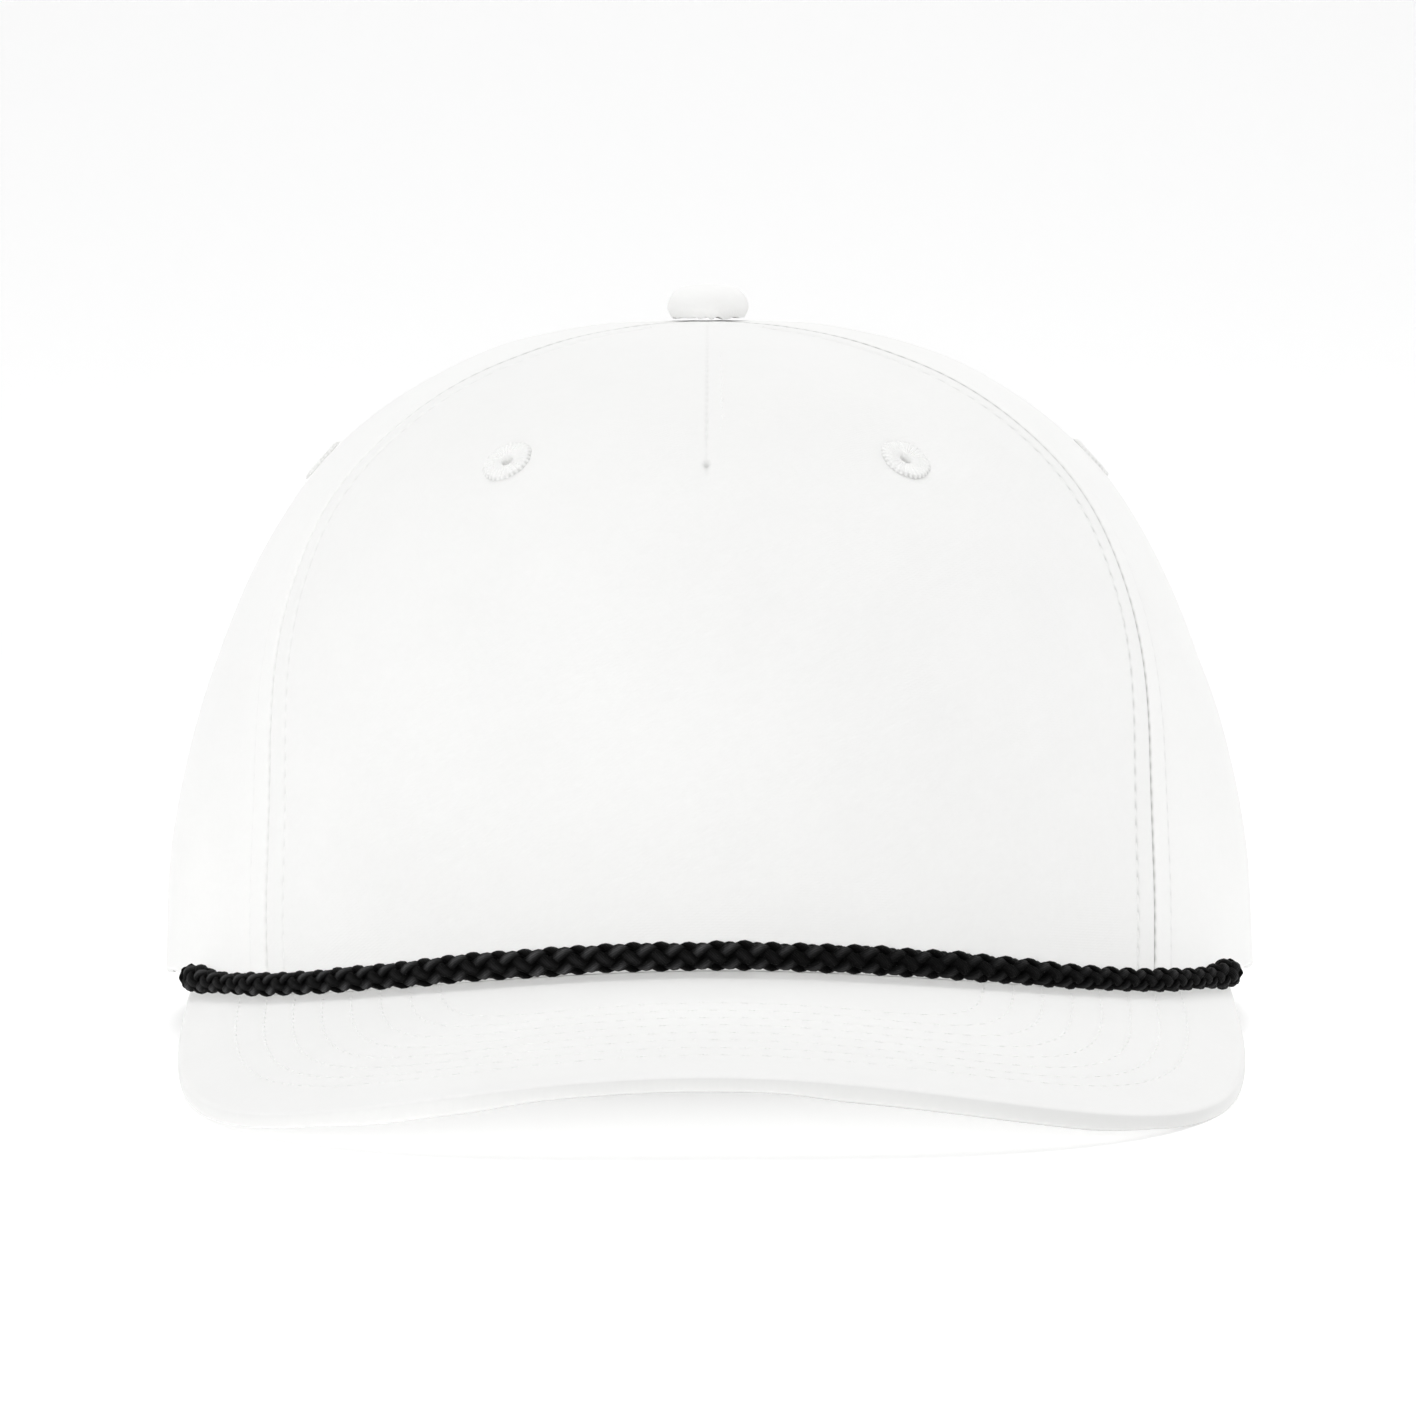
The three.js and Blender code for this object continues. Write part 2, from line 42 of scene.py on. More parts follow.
# The photograph's camera
camera = {
    "distance": 1250,  # from the middle of the rim
    "elevation": 5,
    "aimHeight": 50.4,
    "turn": 0.25,  # the cap stands turned a little, and leans a little
    "roll": 0.22,
    "lens": 193.9,  # on a 36 mm sensor, in lens millimetres
    "sensor": 36,
}

# The crown's surface, the same form as the CAD panels have
crown = {
    "middleY": 33.45,  # the rim's middle lies here in the frame
    "halfLength": 99,
    "rimFade": 0.45,  # the rim's own line dies out at this rise
    "flatBackFrom": 86,  # behind this the rim lies flat on the table
    "brimEnds": (-38, -2),  # between these the rim goes from the brim to its own line
    "top": 113.7,
    "hole": 2.6,  # radius of the opening under the button
    "meridian": 158,  # length from the rim to that opening
    "sewnGap": 0.3,
    "rimGap": 0.05,  # the crown is sewn down to the brim
    "wallFront": 1.9,
    "wallSoft": 1.3,
}
# One column for each size of a ring, from the rim up to the button at even rises
rings = {
    "front": (99.0, 98.4, 96.0, 91.0, 83.0, 71.0, 54.5, 34.5, 13.0, -8.0),
    "side": (89.0, 88.2, 85.4, 80.6, 73.4, 64.3, 51.4, 35.5, 20.0, 0.0),
    "back": (99.0, 99.8, 98.6, 94.5, 87.0, 76.0, 61.0, 44.0, 26.0, 8.0),
    "frontZ": (19.3, 37.3, 55.0, 71.5, 86.0, 98.0, 106.4, 111.3, 113.2, 113.7),
    "sideZ": (7.2, 25.4, 42.1, 58.3, 75.1, 89.6, 101.1, 109.1, 112.6, 113.7),
    "backZ": (0.0, 16.0, 33.0, 50.5, 67.5, 83.7, 97.0, 106.8, 112.0, 113.7),
    "middle": (0.0, 1.0, 2.0, 3.5, 5.0, 6.5, 7.5, 8.0, 8.0, 8.0),
    "square": (2.15, 2.15, 2.15, 2.1, 2.05, 2.0, 2.0, 2.0, 2.0, 2.0),
}
# Azimuths of the front panel's edges and of the back panels' outer edges, at each rise
seamLines = {
    "rise": (0.0, 0.2, 0.4, 0.5, 0.6, 0.7, 0.8, 0.9, 1.0),
    "front": (46.3, 47.5, 54.3, 56.4, 53.9, 49.3, 41.7, 39.8, 39.0),
    "back": (119.0, 119.5, 120.0, 120.0, 120.0, 120.0, 120.0, 120.0, 120.0),
}
brim = {
    "length": 68,
    "halfWidth": 82.6,
    "thickness": 2.5,
    "frontTop": 19.0,
    "fall": 0.098,
    "bend": 0.00238,
    "bendGrowth": 0.14,
    "twist": 1.5,  # the bend's crest runs off a little to one side, towards the front
    "outlinePower": 3.0,
    "squareFrom": 50,
    "cornerHalfWidth": 82.2,
    "cornerAzimuth": 66,
}


def lerp(a, b, share):
    return a + (b - a) * share


def smoothstep(value, low, high):
    share = min(max((value - low) / (high - low), 0), 1)
    return share * share * (3 - 2 * share)


def closeIn(low, high, rounds, holds):
    # halves a range again and again, round the place where the test stops holding
    for _ in range(rounds):
        middle = (low + high) / 2
        low, high = (middle, high) if holds(middle) else (low, middle)
    return low, high


def runLengths(points):
    # how far along a line of points each one lies
    lengths = [0]
    for before, after in zip(points, points[1:]):
        lengths.append(lengths[-1] + (after - before).length)
    return lengths


def swing(first, second, turn):
    # the direction at an angle from the first towards the second
    return first * math.cos(turn) + second * math.sin(turn)


def curveThrough(positions, values, at):
    # a smooth curve through a table's points, straight on past its ends
    at = min(max(at, positions[0]), positions[-1])
    last = len(positions) - 1
    i = 1
    while i < last and at >= positions[i]:
        i += 1
    start, end = positions[i - 1], positions[i]
    half = (end - start) / 2
    before = half / (start - (positions[i - 2] if i > 1 else end))
    after = half / ((positions[i + 1] if i < last else start) - end)
    t = (at - start) / (end - start)
    t2, t3 = t * t, t * t * t
    return (
        (-before * t3 + 2 * before * t2 - before * t) * (values[i - 2] if i > 1 else values[i])
        + ((1 + before) * t3 + (-1.5 - 2 * before) * t2 + (-0.5 + before) * t + 1) * values[i - 1]
        + ((-1 - after) * t3 + (1.5 + after) * t2 + 0.5 * t) * values[i]
        + (after * t3 - after * t2) * (values[i + 1] if i < last else values[i - 1])
    )


ringRises = [i / (len(rings["front"]) - 1) for i in range(len(rings["front"]))]
holeRise = 1 - crown["hole"] / rings["side"][-2] * ringRises[1]


@lru_cache(maxsize=None)
def ringAt(rise):
    return {name: curveThrough(ringRises, values, rise) for name, values in rings.items()}


@lru_cache(maxsize=None)
def seamAzimuth(line, rise):
    return curveThrough(seamLines["rise"], seamLines[line], rise)


def brimTop(x, y):
    ahead = -y - crown["halfLength"]
    bend = brim["bend"] * (1 + brim["bendGrowth"] * ahead / brim["length"])
    off = x + brim["twist"] * max(0, ahead) / brim["length"]
    return brim["frontTop"] - brim["fall"] * ahead - bend * off * off


def rimHeight(x, y):
    onBrim = brimTop(x, y) + crown["rimGap"]
    behind = max(0, rings["sideZ"][0] * (1 - y / crown["flatBackFrom"]))
    return lerp(onBrim, behind, smoothstep(y, *crown["brimEnds"]))


def ringPoint(azimuth, rise):
    s, c = math.sin(math.radians(azimuth)), math.cos(math.radians(azimuth))
    ring = ringAt(rise)
    side = max(ring["side"], 0.001)
    length = ring["front"] + ring["middle"] if c > 0 else ring["back"] - ring["middle"]
    power = ring["square"] if c > 0 else 2
    reach = ((abs(s) / side) ** power + (abs(c) / max(length, 0.001)) ** power) ** (-1 / power)
    endZ = ring["frontZ"] if c > 0 else ring["backZ"]
    return Vector((reach * s, ring["middle"] - reach * c, lerp(ring["sideZ"], endZ, c * c)))


def crownPoint(azimuth, rise):
    point = ringPoint(azimuth, rise)
    if rise < crown["rimFade"]:
        rim = ringPoint(azimuth, 0)
        point.z += (rimHeight(rim.x, rim.y) - rim.z) * (1 - smoothstep(rise, 0, crown["rimFade"]))
    return point


def crownNormal(azimuth, rise):
    along = crownPoint(azimuth + 0.5, rise) - crownPoint(azimuth - 0.5, rise)
    up = crownPoint(azimuth, min(rise + 0.004, 0.996)) - crownPoint(azimuth, max(rise - 0.004, 0))
    return along.cross(up).normalized()


def crownAt(azimuth, rise, depth):
    return crownPoint(azimuth, rise) - crownNormal(azimuth, rise) * depth


def rimOutward(azimuth):
    out = crownNormal(azimuth, 0)
    out.z = 0
    return out.normalized()


@lru_cache(maxsize=None)
def azimuthAtX(x):
    # where the rim's back half passes a distance from the middle
    return closeIn(90, 180, 30, lambda azimuth: crownPoint(azimuth, 0).x > x)[0]


def toFrame(point):
    return Vector((point.x, point.y + crown["middleY"], point.z)) * mm


# Finishes
def linear(hexColour):
    parts = [int(hexColour[i : i + 2], 16) / 255 for i in (1, 3, 5)]
    return (*[p / 12.92 if p <= 0.04045 else ((p + 0.055) / 1.055) ** 2.4 for p in parts], 1)


def addNode(tree, kind, settings=None, inputs=(), output=0):
    # an input takes a plain value or another node's output
    node = tree.nodes.new("ShaderNode" + kind)
    for name, value in (settings or {}).items():
        setattr(node, name, value)
    for name, value in inputs.items() if isinstance(inputs, dict) else enumerate(inputs):
        if isinstance(value, bpy.types.NodeSocket):
            tree.links.new(value, node.inputs[name])
        else:
            node.inputs[name].default_value = value
    return node.outputs[output] if node.outputs else None


def newMaterial(name):
    material = bpy.data.materials.new(name)
    material.use_nodes = True
    material.node_tree.nodes.clear()
    return material, material.node_tree


def finishMaterial(tree, inputs):
    shader = addNode(tree, "BsdfPrincipled", {}, inputs)
    addNode(tree, "OutputMaterial", {}, {"Surface": shader})


# What a Math node does with its inputs
times = {"operation": "MULTIPLY"}
timesPlus = {"operation": "MULTIPLY_ADD"}
minus = {"operation": "SUBTRACT"}
sine = {"operation": "SINE"}

waveScale = math.pi / 10  # a wave texture at this scale repeats once in each unit of its coordinates


def bell(tree, value, centre, width):
    # 1 where the value is at the centre, falling to nothing over the width
    off = addNode(tree, "Math", minus, [value, centre])
    off = addNode(tree, "Math", {"operation": "DIVIDE"}, [off, width])
    squared = addNode(tree, "Math", times, [off, off])
    return addNode(tree, "Math", {"operation": "EXPONENT"}, [addNode(tree, "Math", times, [squared, -1.0])])


def beating(tree, along, pitch, least):
    # a wave along a seam, between a least value and 1
    beat = addNode(tree, "Math", sine, [addNode(tree, "Math", times, [along, 2 * math.pi / pitch])])
    return addNode(tree, "Math", timesPlus, [beat, (1 - least) / 2, (1 + least) / 2])


# A row of stitches runs on each side of a seam of the crown
sewing = {"off": 4.7, "pitch": 2.7}
twill = {
    # the pair of tones at the top is the cloth painted lighter, as painted light; the third pair is the cloth
    # painted darker, as painted shade
    "litWhite": "#fbfbfa",
    "litSoft": "#f4f4f3",
    "light": "#f8f8f7",
    "shade": "#f1f1f0",
    "shadedWhite": "#f2f2f1",
    "shadedSoft": "#ebebea",
    # dark is the colour that painted shade mixes towards: in the seams' folds, in their rows of stitches and
    # on the brim's edge band
    "dark": "#8f8f8d",
    "rib": 0.5,  # twill ribs are near 0.45 apart; drawn a little coarser, to show at all
    "ribTurn": 62,
    "pick": 0.4,
    "ribHeight": 0.012,
    "mottle": 24,
    "lint": 1.1,
    "mottleShare": 0.7,
    "lintShare": 0.35,
    "pucker": 0.072,
    "puckerWidth": 1.3,
    # painted shade in the seams' folds and in the rows of stitches beside them
    "foldShade": 0.3,
    "foldDark": 0.72,
    "foldPitch": 2.1,
    "rowShade": 0.26,
    "rowDark": 0.34,
    "groove": 0.07,
    "grooveWidth": 0.11,
    "grooveRows": (-0.4, 7.4),
    # painted shade on the brim's edge band
    "edgeDark": 0.26,
}


def twillMaterial(name, colours=("light", "shade"), seams=False, rows=False):
    # bleached cotton twill: a matt white with fine slanting ribs and a faint unevenness
    material, tree = newMaterial(name)
    cloth = addNode(tree, "UVMap", {"uv_map": "clothMap"})
    place = addNode(tree, "TexCoord", output="Object")
    slant = (0, 0, math.radians(twill["ribTurn"]))
    slanted = addNode(tree, "Mapping", {}, {"Vector": cloth, "Rotation": slant})
    ribLook = {"Scale": waveScale / twill["rib"], "Distortion": 0.6, "Detail": 1.0, "Detail Scale": 2.0}
    ribs = addNode(tree, "TexWave", {}, {"Vector": slanted, **ribLook}, "Fac")
    pickLook = {"Scale": waveScale / twill["pick"], "Distortion": 0.3}
    picks = addNode(tree, "TexWave", {"bands_direction": "Y"}, {"Vector": cloth, **pickLook}, "Fac")
    mottleLook = {"Scale": 1 / (twill["mottle"] * mm), "Detail": 3.0}
    mottle = addNode(tree, "TexNoise", {}, {"Vector": place, **mottleLook}, "Fac")
    lintLook = {"Scale": 1 / (twill["lint"] * mm), "Detail": 4.0}
    lint = addNode(tree, "TexNoise", {}, {"Vector": place, **lintLook}, "Fac")
    height = addNode(tree, "Math", times, [ribs, twill["ribHeight"]])
    height = addNode(tree, "Math", timesPlus, [picks, twill["ribHeight"] * 0.4, height])
    height = addNode(tree, "Math", timesPlus, [lint, twill["ribHeight"] * 0.8, height])
    dirt = addNode(tree, "Math", times, [lint, twill["lintShare"]])
    dirt = addNode(tree, "Math", timesPlus, [mottle, twill["mottleShare"], dirt])
    shade = None
    if seams:
        away, seamShadeAmount, rowShadeAndPucker = [
            addNode(tree, "Attribute", {"attribute_name": attribute}, output="Fac")
            for attribute in ("seamDistance", "seamShadeAmount", "rowShadeAndPucker")
        ]
        run = addNode(tree, "SeparateXYZ", {}, {"Vector": cloth}, "Y")
        # the cloth ripples between the stitches beside a seam
        ripple = addNode(tree, "Math", times, [run, 2 * math.pi / sewing["pitch"]])
        ripple = addNode(tree, "Math", sine, [ripple])
        ripple = addNode(tree, "Math", times, [ripple, bell(tree, away, sewing["off"], twill["puckerWidth"])])
        ripple = addNode(tree, "Math", times, [ripple, rowShadeAndPucker])
        height = addNode(tree, "Math", timesPlus, [ripple, twill["pucker"], height])
        # painted shade in a seam's fold, not equally dark all along
        fold = addNode(tree, "Math", times, [bell(tree, away, 0.0, twill["foldShade"]), twill["foldDark"]])
        fold = addNode(tree, "Math", times, [fold, beating(tree, run, twill["foldPitch"], 0.5)])
        fold = addNode(tree, "Math", times, [fold, seamShadeAmount])
        # painted shade: a row of stitches shows as a broken dark line, the shade of its groove
        row = bell(tree, away, sewing["off"], twill["rowShade"])
        row = addNode(tree, "Math", times, [row, twill["rowDark"]])
        row = addNode(tree, "Math", times, [row, beating(tree, run, sewing["pitch"], 0.2)])
        shade = addNode(tree, "Math", timesPlus, [row, rowShadeAndPucker, fold])
    if rows:
        # each row of stitches lies in a shallow groove
        row = addNode(tree, "Attribute", {"attribute_name": "sewnRow"}, output="Fac")
        inRow = addNode(tree, "Math", minus, [row, addNode(tree, "Math", {"operation": "ROUND"}, [row])])
        sewn = bell(tree, inRow, 0, twill["grooveWidth"])
        for operation, end in zip(("GREATER_THAN", "LESS_THAN"), twill["grooveRows"]):
            within = addNode(tree, "Math", {"operation": operation}, [row, end])
            sewn = addNode(tree, "Math", times, [sewn, within])
        height = addNode(tree, "Math", timesPlus, [sewn, -twill["groove"], height])
        # painted shade on the band round the brim's edge
        edge = addNode(tree, "Attribute", {"attribute_name": "edgeBandShade"}, output="Fac")
        shade = addNode(tree, "Math", times, [edge, twill["edgeDark"]])
    tones = {6: linear(twill[colours[0]]), 7: linear(twill[colours[1]])}
    colour = addNode(tree, "Mix", {"data_type": "RGBA"}, {0: dirt, **tones}, 2)
    if shade is not None:
        tones = {6: colour, 7: linear(twill["dark"])}
        colour = addNode(tree, "Mix", {"data_type": "RGBA"}, {0: shade, **tones}, 2)
    bump = addNode(tree, "Bump", {}, {"Strength": 1.0, "Distance": mm, "Height": height})
    sheen = {"Roughness": 0.92, "Specular IOR Level": 0.25, "Sheen Weight": 0.12, "Sheen Roughness": 0.5}
    finishMaterial(tree, {"Base Color": colour, "Normal": bump, **sheen})
    return material


# the root tones are painted shade where an eyelet's thread meets the cloth, lighter on the side eyelets
threadLook = {"colour": "#f6f6f5", "root": "#a8a8a6", "sideRootShade": "#d4d4d2", "twist": 0.35}


def threadMaterial(name, root):
    # spun polyester thread: a little smoother than the cloth, with a fine twist
    material, tree = newMaterial(name)
    place = addNode(tree, "TexCoord", output="Object")
    twistLook = {"Scale": waveScale / (threadLook["twist"] * mm), "Distortion": 1.0}
    twist = addNode(tree, "TexWave", {"bands_direction": "DIAGONAL"}, {"Vector": place, **twistLook}, "Fac")
    bump = addNode(tree, "Bump", {}, {"Strength": 0.5, "Distance": 0.06 * mm, "Height": twist})
    # an eyelet's thread is pinched into the cloth all round, and painted shade darkens it there
    pinchShade = addNode(tree, "Attribute", {"attribute_name": "root"}, output="Fac")
    tones = {6: linear(threadLook["colour"]), 7: linear(threadLook[root])}
    colour = addNode(tree, "Mix", {"data_type": "RGBA"}, {0: pinchShade, **tones}, 2)
    finishMaterial(tree, {"Base Color": colour, "Normal": bump, "Roughness": 0.6, "Sheen Weight": 0.1})
    return material


# light is the colour of the painted highlight on the rope's strands
ropeLook = {"dark": "#040404", "light": "#5e5e5f", "fibre": 0.3}


def ropeMaterial():
    # dyed polyester yarn, braided: near black, with a painted highlight along its fibres on the strands'
    # crests
    material, tree = newMaterial("blackPolyesterYarn")
    yarn = addNode(tree, "UVMap", {"uv_map": "clothMap"})
    strandHighlight = addNode(tree, "Attribute", {"attribute_name": "strandHighlight"}, output="Fac")
    fibreLook = {"Distortion": 1.2, "Detail": 2.0, "Detail Scale": 1.5}
    fibreLook["Scale"] = waveScale / ropeLook["fibre"]
    fibres = addNode(tree, "TexWave", {"bands_direction": "X"}, {"Vector": yarn, **fibreLook}, "Fac")
    # painted highlight on the crests, broken by the fibres
    highlight = addNode(tree, "Math", timesPlus, [fibres, 0.45, 0.55])
    highlight = addNode(tree, "Math", times, [strandHighlight, highlight])
    tones = {6: linear(ropeLook["dark"]), 7: linear(ropeLook["light"])}
    colour = addNode(tree, "Mix", {"data_type": "RGBA"}, {0: highlight, **tones}, 2)
    bump = addNode(tree, "Bump", {}, {"Strength": 0.8, "Distance": 0.08 * mm, "Height": fibres})
    finishMaterial(tree, {"Base Color": colour, "Normal": bump, "Roughness": 0.5, "Specular IOR Level": 0.04})
    return material


strapLook = {"colour": "#ebebea", "grain": 0.5}


def strapMaterial():
    # moulded polyethylene: a soft waxy gloss with a fine spark-eroded grain
    material, tree = newMaterial("mouldedPolyethylene")
    place = addNode(tree, "TexCoord", output="Object")
    grainLook = {"Scale": 1 / (strapLook["grain"] * mm), "Detail": 2.0}
    grain = addNode(tree, "TexNoise", {}, {"Vector": place, **grainLook}, "Fac")
    bump = addNode(tree, "Bump", {}, {"Strength": 0.3, "Distance": 0.02 * mm, "Height": grain})
    gloss = {"Roughness": 0.38, "Subsurface Weight": 0.15, "Subsurface Scale": mm}
    finishMaterial(tree, {"Base Color": linear(strapLook["colour"]), "Normal": bump, **gloss})
    return material


# The front is backed with buckram. The sides are bare cloth, painted whiter: painted light for the light that
# comes through them.
# The back is painted a little darker, a painted shade, so that it stands out from the bright floor round it.
finishes = {
    "crown": twillMaterial("whiteCottonTwillCrown", seams=True),
    "side": twillMaterial("whiteCottonTwillSideLit", colours=("litWhite", "litSoft"), seams=True),
    "back": twillMaterial("whiteCottonTwillBackShaded", colours=("shadedWhite", "shadedSoft"), seams=True),
    "brim": twillMaterial("whiteCottonTwillBrim", rows=True),
    "trim": twillMaterial("whiteCottonTwillTrim"),
    # the button's cover is painted whiter, a painted light
    "button": twillMaterial("whiteCottonTwillButtonLit", colours=("litWhite", "light")),
    "thread": threadMaterial("spunPolyesterThread", "root"),
    "sideThread": threadMaterial("spunPolyesterThreadSideShade", "sideRootShade"),
    "rope": ropeMaterial(),
    "strap": strapMaterial(),
}
print("materials made")


# Ways of making a piece
def selectOnly(*pieces):
    bpy.ops.object.select_all(action="DESELECT")
    for piece in pieces:
        piece.select_set(True)
    if pieces:
        bpy.context.view_layer.objects.active = pieces[0]


def layGrid(name, columns, rows, place, clothMap):
    # a flat grid whose every corner is carried to its place in the cap, and its cloth mapped in millimetres
    selectOnly()
    bpy.ops.mesh.primitive_grid_add(x_subdivisions=columns, y_subdivisions=rows, size=2)
    piece = bpy.context.object
    piece.name = piece.data.name = name
    mesh = piece.data
    cells = [(round((v.co.x + 1) / 2 * columns), round((v.co.y + 1) / 2 * rows)) for v in mesh.vertices]
    for vertex, (column, row) in zip(mesh.vertices, cells):
        vertex.co = toFrame(place(column, row))
    layer = mesh.uv_layers.active
    layer.name = "clothMap"
    for loop in mesh.loops:
        layer.data[loop.index].uv = clothMap(*cells[loop.vertex_index])
    return piece, cells


def editAll(piece):
    selectOnly(piece)
    bpy.ops.object.mode_set(mode="EDIT")
    bpy.ops.mesh.select_all(action="SELECT")


def closeSkin(piece):
    # a skin laid round a closed section is joined along its seam and filled at its two ends
    editAll(piece)
    bpy.ops.mesh.remove_doubles(threshold=0.001 * mm)
    bpy.ops.mesh.fill_holes(sides=0)
    bpy.ops.mesh.normals_make_consistent(inside=False)
    bpy.ops.object.mode_set(mode="OBJECT")


def applyModifier(piece, kind, settings):
    modifier = piece.modifiers.new(kind.lower(), kind)
    for name, value in settings.items():
        setattr(modifier, name, value)
    selectOnly(piece)
    bpy.ops.object.modifier_apply(modifier=modifier.name)


def joinInto(first, others):
    selectOnly(first, *others)
    bpy.ops.object.join()
    return first


def dress(piece, finish, nodes=(), smoothUnder=50):
    piece.data.materials.clear()
    piece.data.materials.append(finishes[finish])
    selectOnly(piece)
    bpy.ops.object.shade_smooth_by_angle(angle=math.radians(smoothUnder))
    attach(piece, "root")
    if nodes:
        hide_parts(*nodes)
    print(f"{piece.name}: {len(piece.data.polygons)} faces")


def setAttribute(piece, name, values):
    attribute = piece.data.attributes.new(name, "FLOAT", "POINT")
    attribute.data.foreach_set("value", values)


# Panels of the crown
panel = {
    "edgeSteps": (0, 0.06, 0.16, 0.32, 0.55, 1.0, 1.8, 2.8, 3.7, 4.2, 4.5, 4.7, 4.9, 5.2, 5.8, 7.5),
    "dartSteps": (-3, -2.3, -1.6, -1.0, -0.6, -0.35, -0.15, 0, 0.15, 0.35, 0.6, 1.0, 1.6, 2.3, 3),
    "rimSteps": (0, 0.08, 0.22, 0.45, 0.8, 1.3, 2.0, 3.0),
    "rows": 104,
    "frontColumns": 20,  # even columns between two groups of fine ones
    "softColumns": 26,
    "marks": 32,
    "fold": 0.45,  # width over which the cloth turns into a seam
    "foldDepth": 0.95,
    "allowance": 0.22,  # the folded edge under the cloth lifts it between the seam and its stitches
    "stitchSink": 0.2,
    "stitchSpread": 0.34,
    "frontUneven": 0.12,
    "softUneven": 0.38,
    "unevenSize": 30,
    "edgeRound": 0.6,
    "eyeletHole": 1.7,
    "punchLength": 12,
}
# How strong the painted shade in the seams and their rows is: strong all along the wearer's left seam, away
# from the light, and on the right one only near the top
seamShadeLevels = {
    "left": 1.0,
    "right": (0.34, 0.8),
    "rightRises": (0.55, 0.8),
    "back": 0.6,
    "outerRow": 0.6,
    "rowFade": (0.93, 0.97),
    "wider": 0.3,
    "widerRises": (0.5, 0.8),
}
dart = {
    "endRise": 0.516,
    "fullRise": 0.566,
    "depth": 0.2,
    "width": 0.22,
    "off": (-0.45, 0.35),
    "rowOff": 2.1,
    "dimple": 0.7,
    "dimpleAlong": 0.6,
    # painted shade in the pit at the dart's end and along its crease
    "pitShade": 0.75,
    "open": 0.17,
    "faint": ((0.6, 0.62, 0.85), (0.4, 0.9, 0.98)),  # the share that it loses between two rises
    "reach": 9,
}
eyeletPlaces = {"front": ((-23.95, 23.3), 0.535), "side": ((-90, 90), 0.567), "back": ((-150, 150), 0.585)}
arch = {"halfWidth": 42, "top": 50, "spring": 16, "hem": 5, "bunch": 0.13}


def ruler(rise, start, end, marks):
    # distances along a row of the crown, in millimetres, and the azimuth at each
    azimuths = [lerp(start, end, i / marks) for i in range(marks + 1)]
    points = [crownPoint(a, rise) for a in azimuths]
    return azimuths, runLengths(points)


def azimuthAlong(azimuths, lengths, distance):
    i = 1
    while i < len(lengths) - 1 and lengths[i] < distance:
        i += 1
    share = (distance - lengths[i - 1]) / (lengths[i] - lengths[i - 1])
    return lerp(azimuths[i - 1], azimuths[i], share)


def columnPlaces(width, evenColumns, middleSteps):
    # columns close together beside the seams and the dart, and even between them
    edge = panel["edgeSteps"]
    fine = 2 * edge[-1] + (2 * middleSteps[-1] if middleSteps else 0)
    squeeze = min(1, 0.6 * width / fine)
    groups = [[d * squeeze for d in edge], [width - d * squeeze for d in reversed(edge)]]
    if middleSteps:
        groups.insert(1, [width / 2 + d * squeeze for d in middleSteps])
    places = list(groups[0])
    for before, after in zip(groups, groups[1:]):
        places += [lerp(before[-1], after[0], i / evenColumns) for i in range(1, evenColumns)]
        places += after
    return places, squeeze


def turnIn(distance, radius):
    # how far a rounded edge has sunk at a distance from its end
    if distance >= radius:
        return 0
    return radius - math.sqrt(max(0, radius * radius - (radius - distance) ** 2))


def hump(value, centre, width):
    return math.exp(-(((value - centre) / width) ** 2))


def seamRelief(distance, squeeze):
    # depth under the plain surface, beside a seam
    fold = turnIn(distance, panel["fold"] * squeeze) * panel["foldDepth"] / panel["fold"]
    row = sewing["off"]
    lifted = smoothstep(distance, 0.1, 1.2) * (1 - smoothstep(distance, row - 0.6, row + 1))
    sunk = panel["stitchSink"] * hump(distance, row, panel["stitchSpread"])
    return fold + squeeze * (sunk - panel["allowance"] * lifted)


def dartPlace(offMiddle, rise):
    # distance across from the dart, and how much of a crease it has at a rise
    across = offMiddle - lerp(*dart["off"], (rise - dart["endRise"]) / (1 - dart["endRise"]))
    faint = 1
    for lost, low, high in dart["faint"]:
        faint -= lost * smoothstep(rise, low, high)
    return across, smoothstep(rise, dart["endRise"], dart["fullRise"]) * faint


def dartRelief(offMiddle, rise):
    across, crease = dartPlace(offMiddle, rise)
    depth = dart["depth"] * crease * math.exp(-abs(across) / dart["width"])
    along = (rise - dart["endRise"]) * crown["meridian"]
    return depth + dart["dimple"] * hump(across, 0, 0.5) * hump(along, dart["dimpleAlong"], 0.9)


def seamLook(azimuth, rise, distance, outerRow):
    # for the finish: distance from the nearest seam, how strong the painted shade in its fold is, and how
    # strong the painted shade and pucker of its row of stitches are
    look = seamShadeLevels
    side = look["left"] if azimuth > 0 else lerp(*look["right"], smoothstep(rise, *look["rightRises"]))
    side = look["back"] if abs(azimuth) > 90 else side
    row = side * (1 - smoothstep(rise, *look["rowFade"])) * (look["outerRow"] if outerRow else 1)
    return max(0, distance - look["wider"] * smoothstep(rise, *look["widerRises"])), side, row


def archDistance(x, z):
    # how far a point of the back lies outside the opening over the strap
    if z < arch["spring"]:
        return abs(x) - arch["halfWidth"]
    u, v = x / arch["halfWidth"], (z - arch["spring"]) / (arch["top"] - arch["spring"])
    size = max(math.hypot(u, v), 0.001)
    slope = math.hypot(u / arch["halfWidth"], v / (arch["top"] - arch["spring"])) / size
    return (size - 1) / max(slope, 0.001)


def unevenness(point, distance, amount):
    amount = lerp(panel["frontUneven"], amount, smoothstep(distance, 0, 18))
    near = noise.noise(point / panel["unevenSize"])
    return amount * (near + 0.4 * noise.noise(point / (panel["unevenSize"] * 0.4)))


